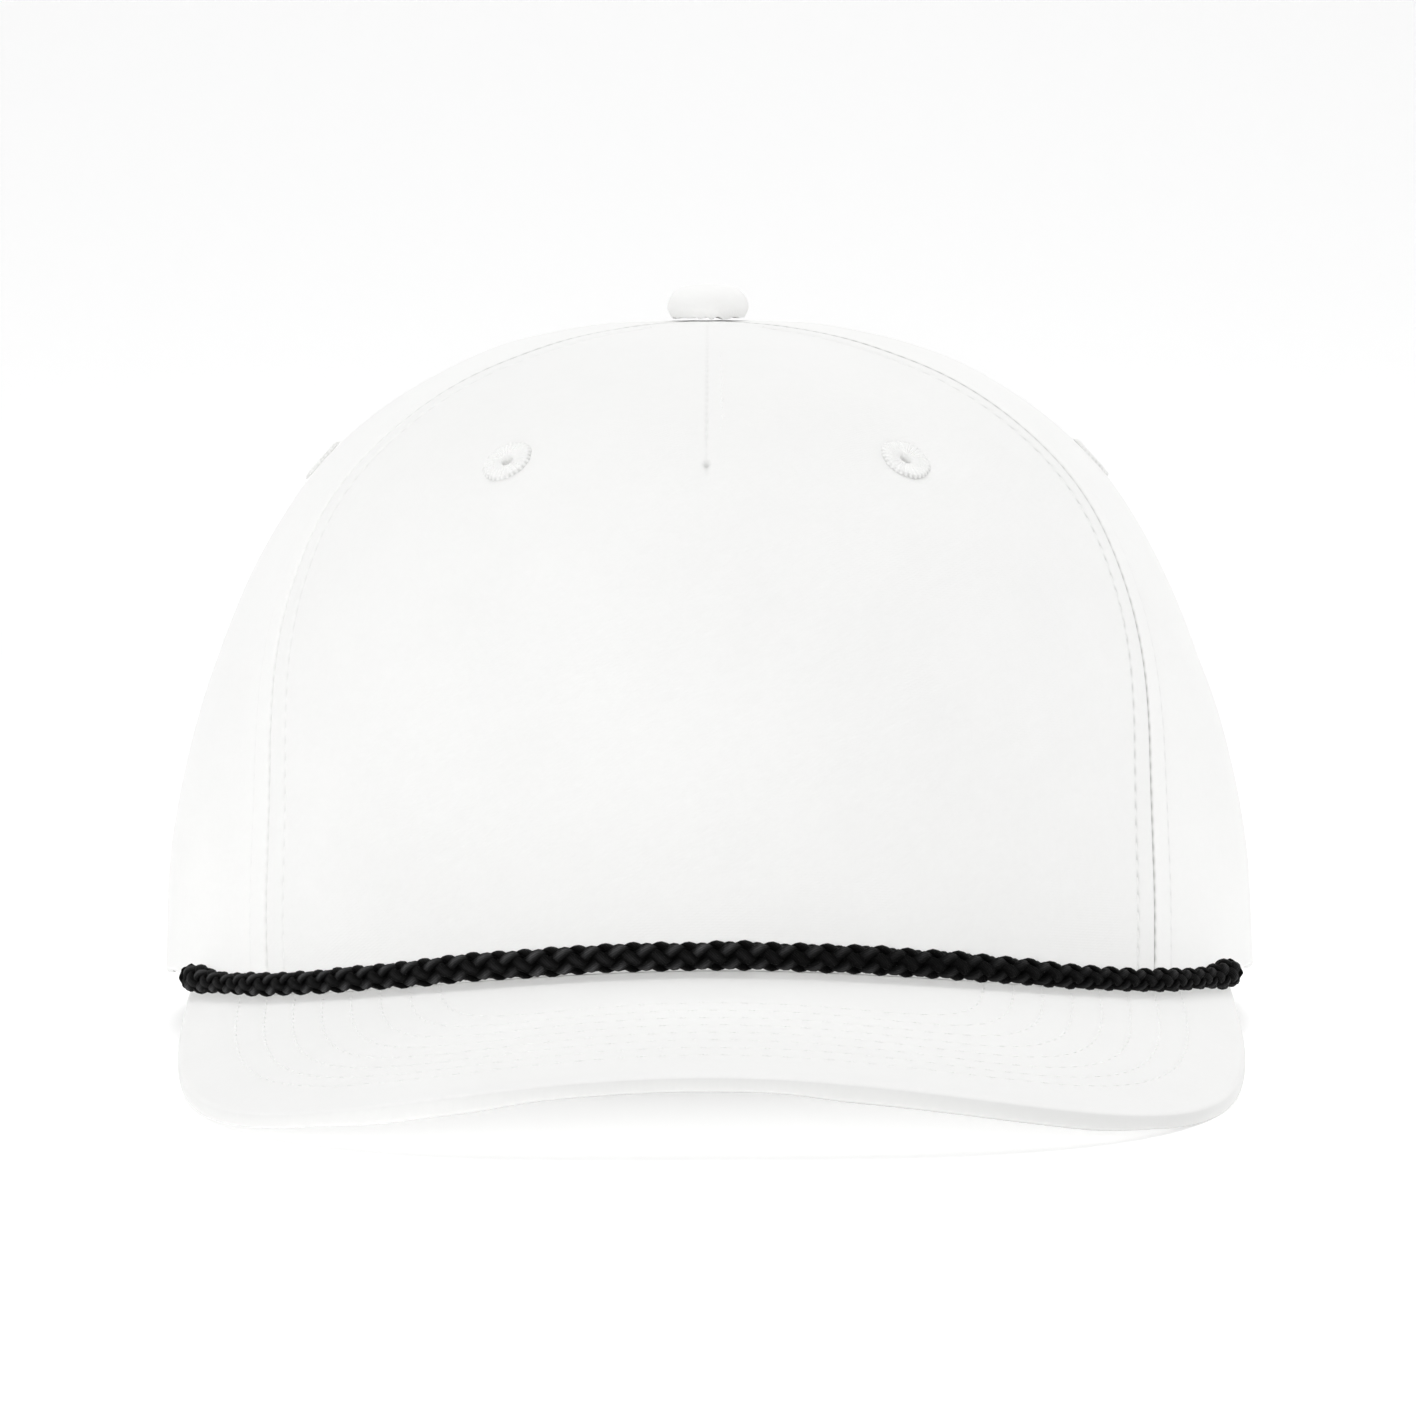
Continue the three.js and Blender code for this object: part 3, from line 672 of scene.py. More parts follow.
def makePanel(name, seamFrom, seamTo, evenColumns, thickness, amount, dartSteps=(), overArch=False):
    evenRows = panel["rows"]
    shares = [step / crown["meridian"] for step in panel["rimSteps"]]
    shares += [lerp(shares[-1], 1, (i + 1) / evenRows) for i in range(evenRows)]
    columns = len(columnPlaces(100, evenColumns, dartSteps)[0])

    @lru_cache(maxsize=None)
    def acrossRow(rise):
        azimuths, lengths = ruler(rise, seamFrom(rise), seamTo(rise), panel["marks"])
        places, squeeze = columnPlaces(lengths[-1], evenColumns, dartSteps)
        return [azimuthAlong(azimuths, lengths, d) for d in places], places, squeeze

    def startRise(column):
        if not overArch or abs(crownPoint(acrossRow(0.0)[0][column], 0).x) >= arch["halfWidth"]:
            return 0.0

        def inOpening(rise):
            point = crownPoint(acrossRow(rise)[0][column], rise)
            return archDistance(point.x, point.z) < 0

        return closeIn(0.0, 0.5, 14, inOpening)[1]

    starts = [startRise(column) for column in range(columns)]
    spots = {}
    for column in range(columns):
        for row, share in enumerate(shares):
            # over the arch the rows are drawn together, so that they lie level again a little above it
            rise, free = holeRise * share, starts[column] + arch["bunch"]
            rise = rise if rise > free else lerp(starts[column], free, rise / free)
            azimuths, places, squeeze = acrossRow(rise)
            left, right = places[column], places[-1] - places[column]
            spots[column, row] = (azimuths[column], rise, left, right, squeeze)

    def outside(column, row):
        azimuth, rise, left, right, squeeze = spots[column, row]
        plain = crownPoint(azimuth, rise)
        nearest = min(left, right)
        depth = max(seamRelief(left, squeeze), seamRelief(right, squeeze), key=abs)
        depth += turnIn((rise - starts[column]) * crown["meridian"], panel["edgeRound"])
        depth -= unevenness(plain, nearest, amount) * (1 - smoothstep(rise, 0.9, 0.97))
        if dartSteps:
            depth += dartRelief((left - right) / 2, rise)
        if overArch:
            hem = archDistance(plain.x, plain.z)
            if starts[column] == 0 and plain.z < arch["spring"]:
                depth += turnIn(max(hem, 0), panel["edgeRound"])
            depth += panel["stitchSink"] * hump(hem, arch["hem"], 0.6)
        point = plain - crownNormal(azimuth, rise) * depth
        if row == 0 and starts[column] == 0:
            point.z = rimHeight(point.x, point.y)
        return point

    def inside(column, row):
        azimuth, rise = spots[column, row][:2]
        point = crownAt(azimuth, rise, thickness)
        if row == 0 and starts[column] == 0:
            point.z = rimHeight(point.x, point.y)
        return point

    def clothMap(column, row):
        _, rise, left, right, _ = spots[column, row]
        return (left - right) / 2, rise * crown["meridian"]

    piece, cells = layGrid(name, columns - 1, len(shares) - 1, outside, clothMap)
    applyModifier(piece, "SOLIDIFY", {"thickness": thickness * mm, "offset": -1})
    for vertex, cell in zip(list(piece.data.vertices)[len(cells) :], cells):
        vertex.co = toFrame(inside(*cell))
    looks = []
    for cell in cells:
        azimuth, rise, left, right, _ = spots[cell]
        look = seamLook(azimuth, rise, min(left, right), not dartSteps)
        if dartSteps:
            across, crease = dartPlace((left - right) / 2, rise)
            # the dart's crease and the pit at its end get painted shade
            if abs(across) < dart["reach"] and rise > dart["endRise"] - 0.02:
                along = (rise - dart["endRise"]) * crown["meridian"]
                pitShade = dart["pitShade"] * hump(along, dart["dimpleAlong"], 1.0)
                look = (abs(across) * (1 - 0.5 * pitShade), max(dart["open"] * crease, pitShade), 0.0)
        looks.append(look)
    for i, name in enumerate(("seamDistance", "seamShadeAmount", "rowShadeAndPucker")):
        setAttribute(piece, name, [look[i] for look in looks] * 2)
    return piece


def pierce(piece, azimuth, rise):
    # the round hole under an eyelet
    selectOnly()
    radius, length = panel["eyeletHole"] * mm, panel["punchLength"] * mm
    bpy.ops.mesh.primitive_cylinder_add(vertices=24, radius=radius, depth=length)
    punch = bpy.context.object
    punch.matrix_world = standing(azimuth, rise, 0)
    applyModifier(piece, "BOOLEAN", {"operation": "DIFFERENCE", "object": punch, "solver": "EXACT"})
    bpy.data.objects.remove(punch)


def standing(azimuth, rise, depth):
    # where a fitting stands on the crown, its own Z along the cloth's outward direction
    turn = Vector((0, 0, 1)).rotation_difference(crownNormal(azimuth, rise))
    return Matrix.Translation(toFrame(crownAt(azimuth, rise, depth))) @ turn.to_matrix().to_4x4()


def makePanels():
    front = makePanel(
        "frontPanel",
        lambda rise: -seamAzimuth("front", rise),
        lambda rise: seamAzimuth("front", rise),
        panel["frontColumns"],
        crown["wallFront"],
        panel["frontUneven"],
        dartSteps=panel["dartSteps"],
    )
    azimuths, rise = eyeletPlaces["front"]
    for azimuth in azimuths:
        pierce(front, azimuth, rise)
    dress(front, "crown", ["front_panel"])
    for side, word in ((1, "Left"), (-1, "Right")):
        lines = {
            "side": (lambda rise: seamAzimuth("front", rise), lambda rise: seamAzimuth("back", rise)),
            "back": (lambda rise: seamAzimuth("back", rise), lambda rise: 180.0),
        }
        for place, (near, far) in lines.items():
            ends = (near, far)
            if side < 0:
                ends = (lambda rise, far=far: -far(rise), lambda rise, near=near: -near(rise))
            piece = makePanel(
                f"{place}Panel{word}",
                *ends,
                panel["softColumns"],
                crown["wallSoft"],
                panel["softUneven"],
                overArch=place == "back",
            )
            azimuths, rise = eyeletPlaces[place]
            pierce(piece, azimuths[side > 0], rise)
            dress(piece, place, [f"{place}_panel_{word.lower()}"])


makePanels()


# Stitches
stitch = {
    "length": 2.2,
    "width": 0.42,
    "height": 0.28,
    "dip": 0.16,
    "brimPitch": 3.0,
    "seamRises": (0.012, 0.93),
    "backSeamFrom": 0.345,  # above the opening over the strap
}


def stitchShape():
    # one stitch lying along X, its two ends pulled down into the cloth
    selectOnly()
    bpy.ops.mesh.primitive_uv_sphere_add(segments=8, ring_count=6, radius=1)
    ball = bpy.context.object
    corners = []
    for vertex in ball.data.vertices:
        along = vertex.co.z
        full = 1
        if abs(along) < 0.999:
            full = (1 - abs(along) ** 4) ** 0.5 / max((1 - along * along) ** 0.5, 0.001)
        across = vertex.co.x * full * stitch["width"] / 2
        upward = vertex.co.y * full * stitch["height"] / 2 - stitch["dip"] * along * along
        corners.append(Vector((along * stitch["length"] / 2, across, upward)))
    faces = [tuple(face.vertices) for face in ball.data.polygons]
    bpy.data.objects.remove(ball)
    return corners, faces


stitchCorners, stitchFaces = stitchShape()


def walk(points, pitch):
    # even steps along a line of points with their normals: place, direction and normal of each stitch
    lengths = runLengths([point for point, _ in points])
    count = int(lengths[-1] / pitch)
    steps = []
    i = 1
    for number in range(count):
        at = (number + 0.5) * lengths[-1] / count
        while lengths[i] < at:
            i += 1
        share = (at - lengths[i - 1]) / (lengths[i] - lengths[i - 1])
        place = points[i - 1][0].lerp(points[i][0], share)
        steps.append((place, (points[i][0] - points[i - 1][0]).normalized(), points[i][1]))
    return steps


def sewRows(name, rows):
    # every stitch of these rows, as one mesh
    corners, faces = [], []
    for place, along, up in [step for row in rows for step in row]:
        across = up.cross(along).normalized()
        upward = along.cross(across)
        first = len(corners)
        corners += [toFrame(place + along * c.x + across * c.y + upward * c.z) for c in stitchCorners]
        faces += [tuple(first + i for i in face) for face in stitchFaces]
    mesh = bpy.data.meshes.new(name)
    mesh.from_pydata(corners, [], faces)
    piece = bpy.data.objects.new(name, mesh)
    bpy.context.scene.collection.objects.link(piece)
    dress(piece, "thread", smoothUnder=80)
    return piece


def seamRow(azimuthOf, offset, fromRise, toRise):
    # a row of stitches at a distance in millimetres beside a seam
    depth = panel["stitchSink"] - stitch["height"] * 0.3
    points = []
    for i in range(121):
        rise = lerp(fromRise, toRise, i / 120)
        azimuth = azimuthOf(rise)
        scale = (crownPoint(azimuth + 0.5, rise) - crownPoint(azimuth - 0.5, rise)).length
        azimuth += offset / scale
        points.append((crownAt(azimuth, rise, depth), crownNormal(azimuth, rise)))
    return walk(points, sewing["pitch"])


def archLine():
    # the hem round the opening over the strap
    points = []
    half = 180 - azimuthAtX(arch["halfWidth"] + arch["hem"])
    for i in range(181):
        azimuth = 180 - half * math.cos(math.pi * i / 180)

        def inHem(rise, azimuth=azimuth):
            point = crownPoint(azimuth, rise)
            return archDistance(point.x, point.z) < arch["hem"]

        rise = closeIn(0.0, 0.5, 16, inHem)[0]
        points.append((crownAt(azimuth, rise, panel["stitchSink"] * 0.5), crownNormal(azimuth, rise)))
    return points


def crownRows():
    rows = []
    off = sewing["off"]
    low, high = stitch["seamRises"]
    for side in (1, -1):
        for line in ("front", "back"):
            for beside in (-off, off):
                rows.append(seamRow(lambda r, s=side, n=line: s * seamAzimuth(n, r), beside, low, high))
    for beside in (-off, off):
        rows.append(seamRow(lambda rise: 180.0, beside, stitch["backSeamFrom"], high))
    rows.append(seamRow(lambda rise: 0.0, dart["rowOff"], dart["endRise"], high))
    rows.append(walk(archLine(), sewing["pitch"]))
    return rows


sewRows("crownStitches", crownRows())


# Brim
brimLook = {
    "stations": 150,
    "across": 66,
    "edgeSteps": 12,
    "edgeDepth": 1.3,
    "edgeSquare": 3.4,
    "rows": 8,
    "firstRow": (9.0, 13.2),  # from the side edge and from the front edge to the outermost row
    "rowStep": (4.55, 4.8),
    "rowPower": (3.3, 0.35),  # the inner rows turn more sharply
    "puff": 0.1,
    "fuller": 0.6,  # the cover is fuller to each side of the middle
    "fullerLeft": (8, 20, 54, 65),
    "fullerRight": (24, 36, 48, 58),
    "bandShade": (0.04, 0.2),  # painted shade: the edge band is darker below this part of its height
    "turnShade": (0.86, 0.96),  # and darkest along the line where the under cloth is turned in
    # the painted shade is fainter to the left, where the light comes from, and fainter again at the right
    # corner
    "greyFrom": (-62, -5),
    "shadeTo": (68, 80),
}


def brimThickness(x):
    # how thick the brim is at its edge
    near, full, fullTo, far = brimLook["fullerLeft" if x > 0 else "fullerRight"]
    fullness = smoothstep(abs(x), near, full) * (1 - smoothstep(abs(x), fullTo, far))
    return brim["thickness"] + brimLook["fuller"] * fullness


def cornerPoint():
    return crownPoint(brim["cornerAzimuth"], 0)


def brimEdge(angle):
    s, c = math.sin(math.radians(angle)), math.cos(math.radians(angle))
    if c > 0:
        ahead = crown["halfLength"] + brim["length"] - brim["squareFrom"]
        w, p = brim["halfWidth"], brim["outlinePower"]
        reach = ((abs(s) / w) ** p + (c / ahead) ** p) ** (-1 / p)
        return Vector((reach * s, -brim["squareFrom"] - reach * c, 0))
    back = brim["squareFrom"] + cornerPoint().y
    share = min(1, (-c / abs(s)) * (brim["halfWidth"] / back))
    width = lerp(brim["halfWidth"], brim["cornerHalfWidth"], share * share)
    return Vector((math.copysign(width, s), -brim["squareFrom"] + share * back, 0))


def rowSizes(number):
    ahead = crown["halfLength"] + brim["length"] - brim["squareFrom"]
    width = brim["halfWidth"] - brimLook["firstRow"][0] - brimLook["rowStep"][0] * number
    ahead -= brimLook["firstRow"][1] + brimLook["rowStep"][1] * number
    return width, ahead, brimLook["rowPower"][0] + brimLook["rowPower"][1] * min(max(number, 0), 7)


def sewnRow(x, y):
    # which row of stitches passes through a point of the brim, as a number with a fraction
    forward = max(0, -brim["squareFrom"] - y)

    def inside(number):
        width, ahead, power = rowSizes(number)
        return (abs(x) / width) ** power + (forward / ahead) ** power < 1

    return sum(closeIn(-3.0, 12.0, 20, inside)) / 2


def makeBrim():
    stations, across, edgeSteps = brimLook["stations"], brimLook["across"], brimLook["edgeSteps"]
    corner = cornerPoint()
    endAngle = 90 + math.degrees(math.atan2(brim["squareFrom"] + corner.y, brim["halfWidth"]))
    depth = brimLook["edgeDepth"]
    power = 2 / brimLook["edgeSquare"]
    section = [(i / across, 0.0, 0.0) for i in range(across)]
    for i in range(edgeSteps + 1):
        turn = math.pi * i / edgeSteps
        bulge = abs(math.sin(turn)) ** power
        down = 0.5 - 0.5 * math.copysign(abs(math.cos(turn)) ** power, math.cos(turn))
        section.append((1.0, bulge, down))
    section += [(i / across, 0.0, 1.0) for i in range(across - 1, -1, -1)]
    section.append(section[0])

    @lru_cache(maxsize=None)
    def station(number):
        share = 2 * number / stations - 1
        root = crownAt(share * brim["cornerAzimuth"], 0, crown["wallFront"])
        root.z = 0
        edge = brimEdge(share * endAngle)
        outward = (edge - root).normalized()
        return root, edge, outward, min(1, (edge - root).length / 4)

    @lru_cache(maxsize=None)
    def plan(column, number):
        share, bulge, down = section[column]
        root, edge, outward, room = station(number)
        start = edge - outward * depth * room
        point = root.lerp(start, share)
        if share == 1:
            point = start + outward * depth * room * bulge
        return point, down

    def place(column, number):
        point, down = plan(column, number)
        z = brimTop(point.x, point.y) - down * brimThickness(point.x)
        row = sewnRow(point.x, point.y)
        sewn = smoothstep(row, -1.1, -0.5) * (1 - smoothstep(row, 7.2, 8))
        lift = brimLook["puff"] * (0.5 - 0.5 * math.cos(2 * math.pi * row)) * sewn
        z += lift if down == 0 else -lift if down == 1 and z > 0.5 else 0
        return Vector((point.x, point.y, max(0, z)))

    def clothMap(column, number):
        point = plan(column, number)[0]
        return point.x, point.y

    piece, cells = layGrid("brimCover", len(section) - 1, stations, place, clothMap)
    setAttribute(piece, "sewnRow", [sewnRow(*plan(*cell)[0].xy) for cell in cells])

    # painted shade on the brim's edge band
    def edgeBandShading(column, number):
        share, _, down = section[column]
        if share < 1:
            return 0
        x = plan(column, number)[0].x
        band = smoothstep(down, *brimLook["bandShade"]) + 1.3 * smoothstep(down, *brimLook["turnShade"])
        band *= lerp(0.3, 1, smoothstep(x, *brimLook["greyFrom"]))
        return band * (1 - 0.6 * smoothstep(x, *brimLook["shadeTo"]))

    setAttribute(piece, "edgeBandShade", [edgeBandShading(*cell) for cell in cells])
    closeSkin(piece)
    dress(piece, "brim", ["brim"])


makeBrim()


def brimRows():
    rows = []
    for number in range(brimLook["rows"]):
        width, ahead, power = rowSizes(number)
        for under in (0, 1):
            points = []
            for i in range(-90, 91, 1):
                s, c = math.sin(math.radians(i)), math.cos(math.radians(i))
                reach = ((abs(s) / width) ** power + (c / ahead) ** power) ** (-1 / power)
                x, y = reach * s, -brim["squareFrom"] - reach * c
                rim = ringPoint(math.degrees(math.atan2(x, -y)), 0)
                if math.hypot(x, y) < math.hypot(rim.x, rim.y) - 1:
                    continue
                z = brimTop(x, y) - under * brimThickness(x)
                up = Vector((2 * brim["bend"] * x, -brim["fall"], 1)).normalized() * (1 - 2 * under)
                if z > 0.8:
                    points.append((Vector((x, y, z)) + up * 0.02, up))
            rows.append(walk(points, stitch["brimPitch"]))
    return rows


sewRows("brimStitches", brimRows())


# Rope
rope = {
    "diameter": 4.6,
    "endAzimuths": (-59.2, 59.5),
    "pitch": 16.8,  # one strand goes once round in this length
    "radius": 1.34,
    "weave": 0.42,  # how far a strand rises over and dips under the others
    "yarnWidth": 1.85,
    "yarnHeight": 1.18,
    "uneven": 0.05,
    "wander": 0.16,
    "core": 1.1,
    "lift": 0.4,  # it is sewn to the wall, a little above the brim
    "steps": 400,
    "sides": 8,
    "stretched": 0.17,  # it is drawn thinner round the sides
    "stretchFrom": (18, 40),
    "knob": 0.3,
    "knobLength": 4.5,
    "waist": 0.07,
    "endRadius": 2.1,
    "endLengths": (1.5, 1.2),
}


def ropeThickness(azimuth):
    uneven = rope["uneven"] * noise.noise(Vector((azimuth / 4, 0, 0)))
    return 1 + uneven - rope["stretched"] * smoothstep(abs(azimuth), *rope["stretchFrom"])


def ropeCentre(azimuth):
    out = rope["diameter"] / 2 * ropeThickness(azimuth) + crown["sewnGap"]
    point = crownPoint(azimuth, 0) + rimOutward(azimuth) * out
    wander = rope["wander"] * noise.noise(Vector((azimuth / 6, 3, 0)))
    point.z = brimTop(point.x, point.y) + out + rope["lift"] + wander
    return point


def ropeFrames():
    # centre, forward, outward and upward directions at even steps along the rope
    azimuths = [lerp(*rope["endAzimuths"], i / 600) for i in range(601)]
    points = [ropeCentre(a) for a in azimuths]
    lengths = runLengths(points)
    frames = []
    for i in range(rope["steps"] + 1):
        at = lengths[-1] * i / rope["steps"]
        azimuth = azimuthAlong(azimuths, lengths, at)
        forward = (ropeCentre(azimuth + 0.2) - ropeCentre(azimuth - 0.2)).normalized()
        up = Vector((0, 0, 1))
        out = forward.cross(up).normalized()
        frames.append((ropeCentre(azimuth), forward, out, out.cross(forward), at, ropeThickness(azimuth)))
    return frames


def makeRope():
    frames = ropeFrames()
    total = frames[-1][4]

    def fullness(i):
        # the sealed ends are knobs with a waist behind them, drawn together at the very tip
        at = min(frames[i][4], total - frames[i][4])
        knob = rope["knob"] * (1 - smoothstep(at, 2, 2 * rope["knobLength"]))
        waist = rope["waist"] * hump(at, 3 * rope["knobLength"], rope["knobLength"])
        return frames[i][5] * (1 + knob - waist) * (1 - 0.3 * hump(at, 0, 0.9))

    def strand(way, number):
        def centre(i):
            point, _, out, up, at, _ = frames[i]
            turn = way * 2 * math.pi * at / rope["pitch"] + number * math.pi / 2
            radius = (rope["radius"] - way * rope["weave"] * math.cos(4 * turn)) * fullness(i)
            return point + swing(out, up, turn) * radius

        centres = [centre(i) for i in range(len(frames))]

        def place(column, row):
            before, after = centres[max(row - 1, 0)], centres[min(row + 1, len(centres) - 1)]
            forward = (after - before).normalized()
            outward = centres[row] - frames[row][0]
            outward = (outward - forward * outward.dot(forward)).normalized()
            across = forward.cross(outward)
            turn = 2 * math.pi * column / rope["sides"]
            wide = across * math.cos(turn) * rope["yarnWidth"] / 2 * fullness(row)
            high = outward * math.sin(turn) * rope["yarnHeight"] / 2 * fullness(row)
            return centres[row] + wide + high

        def clothMap(column, row):
            return column * 0.6 + frames[row][4] * 0.25, frames[row][4]

        piece, cells = layGrid(f"strand{number}", rope["sides"], rope["steps"], place, clothMap)
        # painted highlight on the strands of one direction where each crosses over
        highlights = []
        for column, row in cells:
            turn = way * 2 * math.pi * frames[row][4] / rope["pitch"] + number * math.pi / 2
            top = max(0, math.sin(2 * math.pi * column / rope["sides"]))
            crossing = 0.5 - 0.5 * way * math.cos(4 * turn)
            patchy = 0.75 + 0.5 * noise.noise(Vector((frames[row][4] / 5, number * 7, way)))
            # the painted highlight fades towards the right, away from the light
            dim = lerp(1.1, 0.4, smoothstep(frames[row][0].x, -15, 35))
            highlights.append(top**5 * crossing**2.5 * patchy * dim * (1 if way > 0 else 0.2))
        setAttribute(piece, "strandHighlight", highlights)
        closeSkin(piece)
        return piece

    def core(column, row):
        point, _, out, up, _, _ = frames[row]
        turn = 2 * math.pi * column / rope["sides"]
        return point + swing(out, up, turn) * rope["core"] * fullness(row)

    filling, _ = layGrid("rope", rope["sides"], rope["steps"], core, lambda column, row: (column, row))
    closeSkin(filling)
    strands = [strand(way, number) for way in (1, -1) for number in range(4)]
    first, last = rope["endLengths"]
    ends = [ropeEnd(frames[0], -1, first), ropeEnd(frames[-1], 1, last)]
    piece = joinInto(filling, strands + ends)
    piece.name = piece.data.name = "rope"
    return piece


def ropeEnd(frameAt, way, length):
    # the melted end of the rope, a rough knob
    point, forward, out, up, _, _ = frameAt
    turns, rows = 28, 14

    def place(column, row):
        turn, lift = 2 * math.pi * column / turns, math.pi * (row / rows - 0.5)
        ridge = 1 + 0.06 * math.cos(8 * turn) * math.cos(lift)
        side = swing(out, up, turn) * rope["endRadius"] * ridge * math.cos(lift)
        spot = point + side + forward * (way * length * (math.sin(lift) ** 3 * 0.5 + math.sin(lift) * 0.5))
        return spot + (spot - point).normalized() * 0.18 * noise.noise(spot * 0.9)

    piece, _ = layGrid("ropeEnd", turns, rows, place, lambda column, row: (column * 0.5, row * 0.5))
    closeSkin(piece)
    return piece


ropePiece = makeRope()
dress(ropePiece, "rope", ["rope"], smoothUnder=70)
# the black rope takes nothing from the soft light that the white cloth passes round it
ropePiece.visible_diffuse = False


# Button
button = {
    "radius": 6.85,
    "baseRadius": 5.9,
    "height": 5.35,
    "setBack": 8,
    "raised": 0.15,
    "off": 0.3,
    "pleats": 15,
    "underShare": 0.15,  # the share of the rows that lie flat under it
}


def makeButton():
    turns, rows = 84, 40
    under = button["underShare"]

    def place(column, row):
        turn, share = 2 * math.pi * column / turns, row / rows
        lift = math.pi / 2 * (share - under) / (1 - under)
        if share < under:
            radius, z = lerp(0.0, button["baseRadius"], share / under), 0.0
        else:
            radius = button["radius"] * max(0, math.cos(lift)) ** 0.5
            z = button["height"] * max(0, math.sin(lift)) ** 0.85
            radius *= lerp(button["baseRadius"] / button["radius"], 1, smoothstep(z, -0.6, 2.0))
        # the cover is gathered under the button, in uneven folds
        folds = math.cos(button["pleats"] * turn + 1.6 * math.sin(2 * turn + 1) + 0.9 * math.sin(5 * turn))
        gather = folds * (0.6 + 0.4 * math.sin(3 * turn + 0.5)) * (1 - smoothstep(z, 0.3, 2.6))
        radius += 0.2 * gather * smoothstep(radius, 2, 5)
        z += 0.3 * gather * smoothstep(radius, 3, 5.5) if z < 1.2 else 0
        seat = crown["top"] + crown["sewnGap"] + button["raised"]
        centre = Vector((button["off"], button["setBack"], seat))
        point = centre + Vector((radius * math.sin(turn), -radius * math.cos(turn), z))
        return point + Vector((0, 0, 0.1 * noise.noise(point / 4) * smoothstep(z, 0.5, 2)))

    def clothMap(column, row):
        turn, radius = 2 * math.pi * column / turns, (1 - row / rows) * 9
        return radius * math.sin(turn), radius * math.cos(turn)

    piece, _ = layGrid("buttonCover", turns, rows, place, clothMap)
    closeSkin(piece)
    return piece


dress(makeButton(), "button", ["button"], smoothUnder=60)


# Eyelets
eyelet = {
    "ring": 4.15,
    "hole": 0.9,
    "height": 0.6,
    "stitches": 30,
    "ridge": 0.15,
    "deep": 1.5,
    "faceShare": 0.75,  # the share of the rows that lie outside the hole
    "thread": 0.12,
}


def makeEyelet():
    # embroidered ring: satin stitches run from the rim to the hole and down its barrel
    turns, rows = eyelet["stitches"] * 6, 16
    face = eyelet["faceShare"]

    def place(column, row):
        turn, share = 2 * math.pi * column / turns, row / rows
        ridge = eyelet["ridge"] * (abs(math.cos(eyelet["stitches"] * turn / 2)) - 0.5)
        wobble = 1 + 0.012 * math.sin(5 * turn) + 0.01 * math.sin(11 * turn + 1)
        if share <= face:
            across = share / face
            radius = lerp(eyelet["ring"] * wobble, eyelet["hole"], across)
            z = eyelet["height"] * (4 * across * (1 - across)) ** 0.42 * (1 - 0.18 * across)
            z += ridge * math.sin(math.pi * across) ** 0.5 if 0 < across < 1 else 0
            radius += ridge * 0.8 * (1 - across)
        else:
            radius, z = eyelet["hole"] + ridge * 0.3, -eyelet["deep"] * (share - face) / (1 - face)
        return Vector((radius * math.cos(turn), radius * math.sin(turn) - crown["middleY"], z - 0.1))

    # painted shade round an eyelet's outer edge, in dashes between the stitches
    def pinchShading(column, row):
        turn, across = 2 * math.pi * column / turns, row / rows / face
        dashes = 0.5 - 0.5 * math.cos(eyelet["stitches"] * turn)
        patches = 0.5 + 0.8 * noise.noise(Vector((1.3 * math.cos(turn), 1.3 * math.sin(turn), 5)))
        return (1 - smoothstep(across, 0.02, 0.16)) * (0.2 + 0.8 * dashes) * max(0, min(1, patches))

    piece, cells = layGrid("eyelet", turns, rows, place, lambda column, row: (column * 0.2, row * 0.3))
    setAttribute(piece, "root", [pinchShading(*cell) for cell in cells])
    editAll(piece)
    bpy.ops.mesh.remove_doubles(threshold=0.001 * mm)
    bpy.ops.object.mode_set(mode="OBJECT")
    applyModifier(piece, "SOLIDIFY", {"thickness": eyelet["thread"] * mm, "offset": -1})
    return piece


def placeEyelets():
    pattern = makeEyelet()
    for place, (azimuths, rise) in eyeletPlaces.items():
        for azimuth, word in zip(azimuths, ("Right", "Left")):
            piece = pattern.copy()
            piece.data = pattern.data.copy()
            piece.name = piece.data.name = f"eyelet{place.capitalize()}{word}"
            bpy.context.scene.collection.objects.link(piece)
            piece.data.transform(standing(azimuth, rise, 0))
            finish = "sideThread" if place == "side" else "thread"
            dress(piece, finish, [f"eyelet_{place}_{word.lower()}"], smoothUnder=60)
    bpy.data.objects.remove(pattern)


placeEyelets()


# Sweatband and strap, which lie inside the rim
band = {
    "height": 31,
    "thickness": 1.5,
    "lap": 2.2,
    "lapLength": 12,
    "endMargin": 3,
    "offTable": 0.6,
    "stations": 200,
    "overBrim": (60, 90),
    "ripple": 0.35,
    "rippleSize": 9,
    "corner": 0.6,
    "rowsBelowTop": (3.0, 27.0),
}
strap = {
    "halfLength": 53,
    "height": 19,
    "thickness": 1.5,
    "lapHalfLength": 33,
    "lapThickness": 1.2,
    "endRound": 7,
    "corner": 0.35,
    "stations": 120,
    "lapStations": 110,
    "studPitch": 11,
    "studs": 5,
}
# A stud is a peg with a domed head in a shallow collar: radius and height, from the collar's back to the top
studProfile = (
    (0.0, -0.6),
    (3.3, -0.6),
    (3.3, 0.12),
    (3.15, 0.22),
    (2.95, 0.12),
    (2.85, -0.1),
    (2.6, -0.1),
    (2.5, 0.5),
    (2.2, 1.05),
    (1.76, 1.35),
    (0.88, 1.5),
    (0.0, 1.5),
)


def leanInside(azimuth, height):
    rim = crownPoint(azimuth, 0)
    rise = 0
    while rise < crown["rimFade"] and crownPoint(azimuth, rise).z < rim.z + height:
        rise += 0.01
    return max(0, (rim - crownPoint(azimuth, rise)).dot(rimOutward(azimuth)))


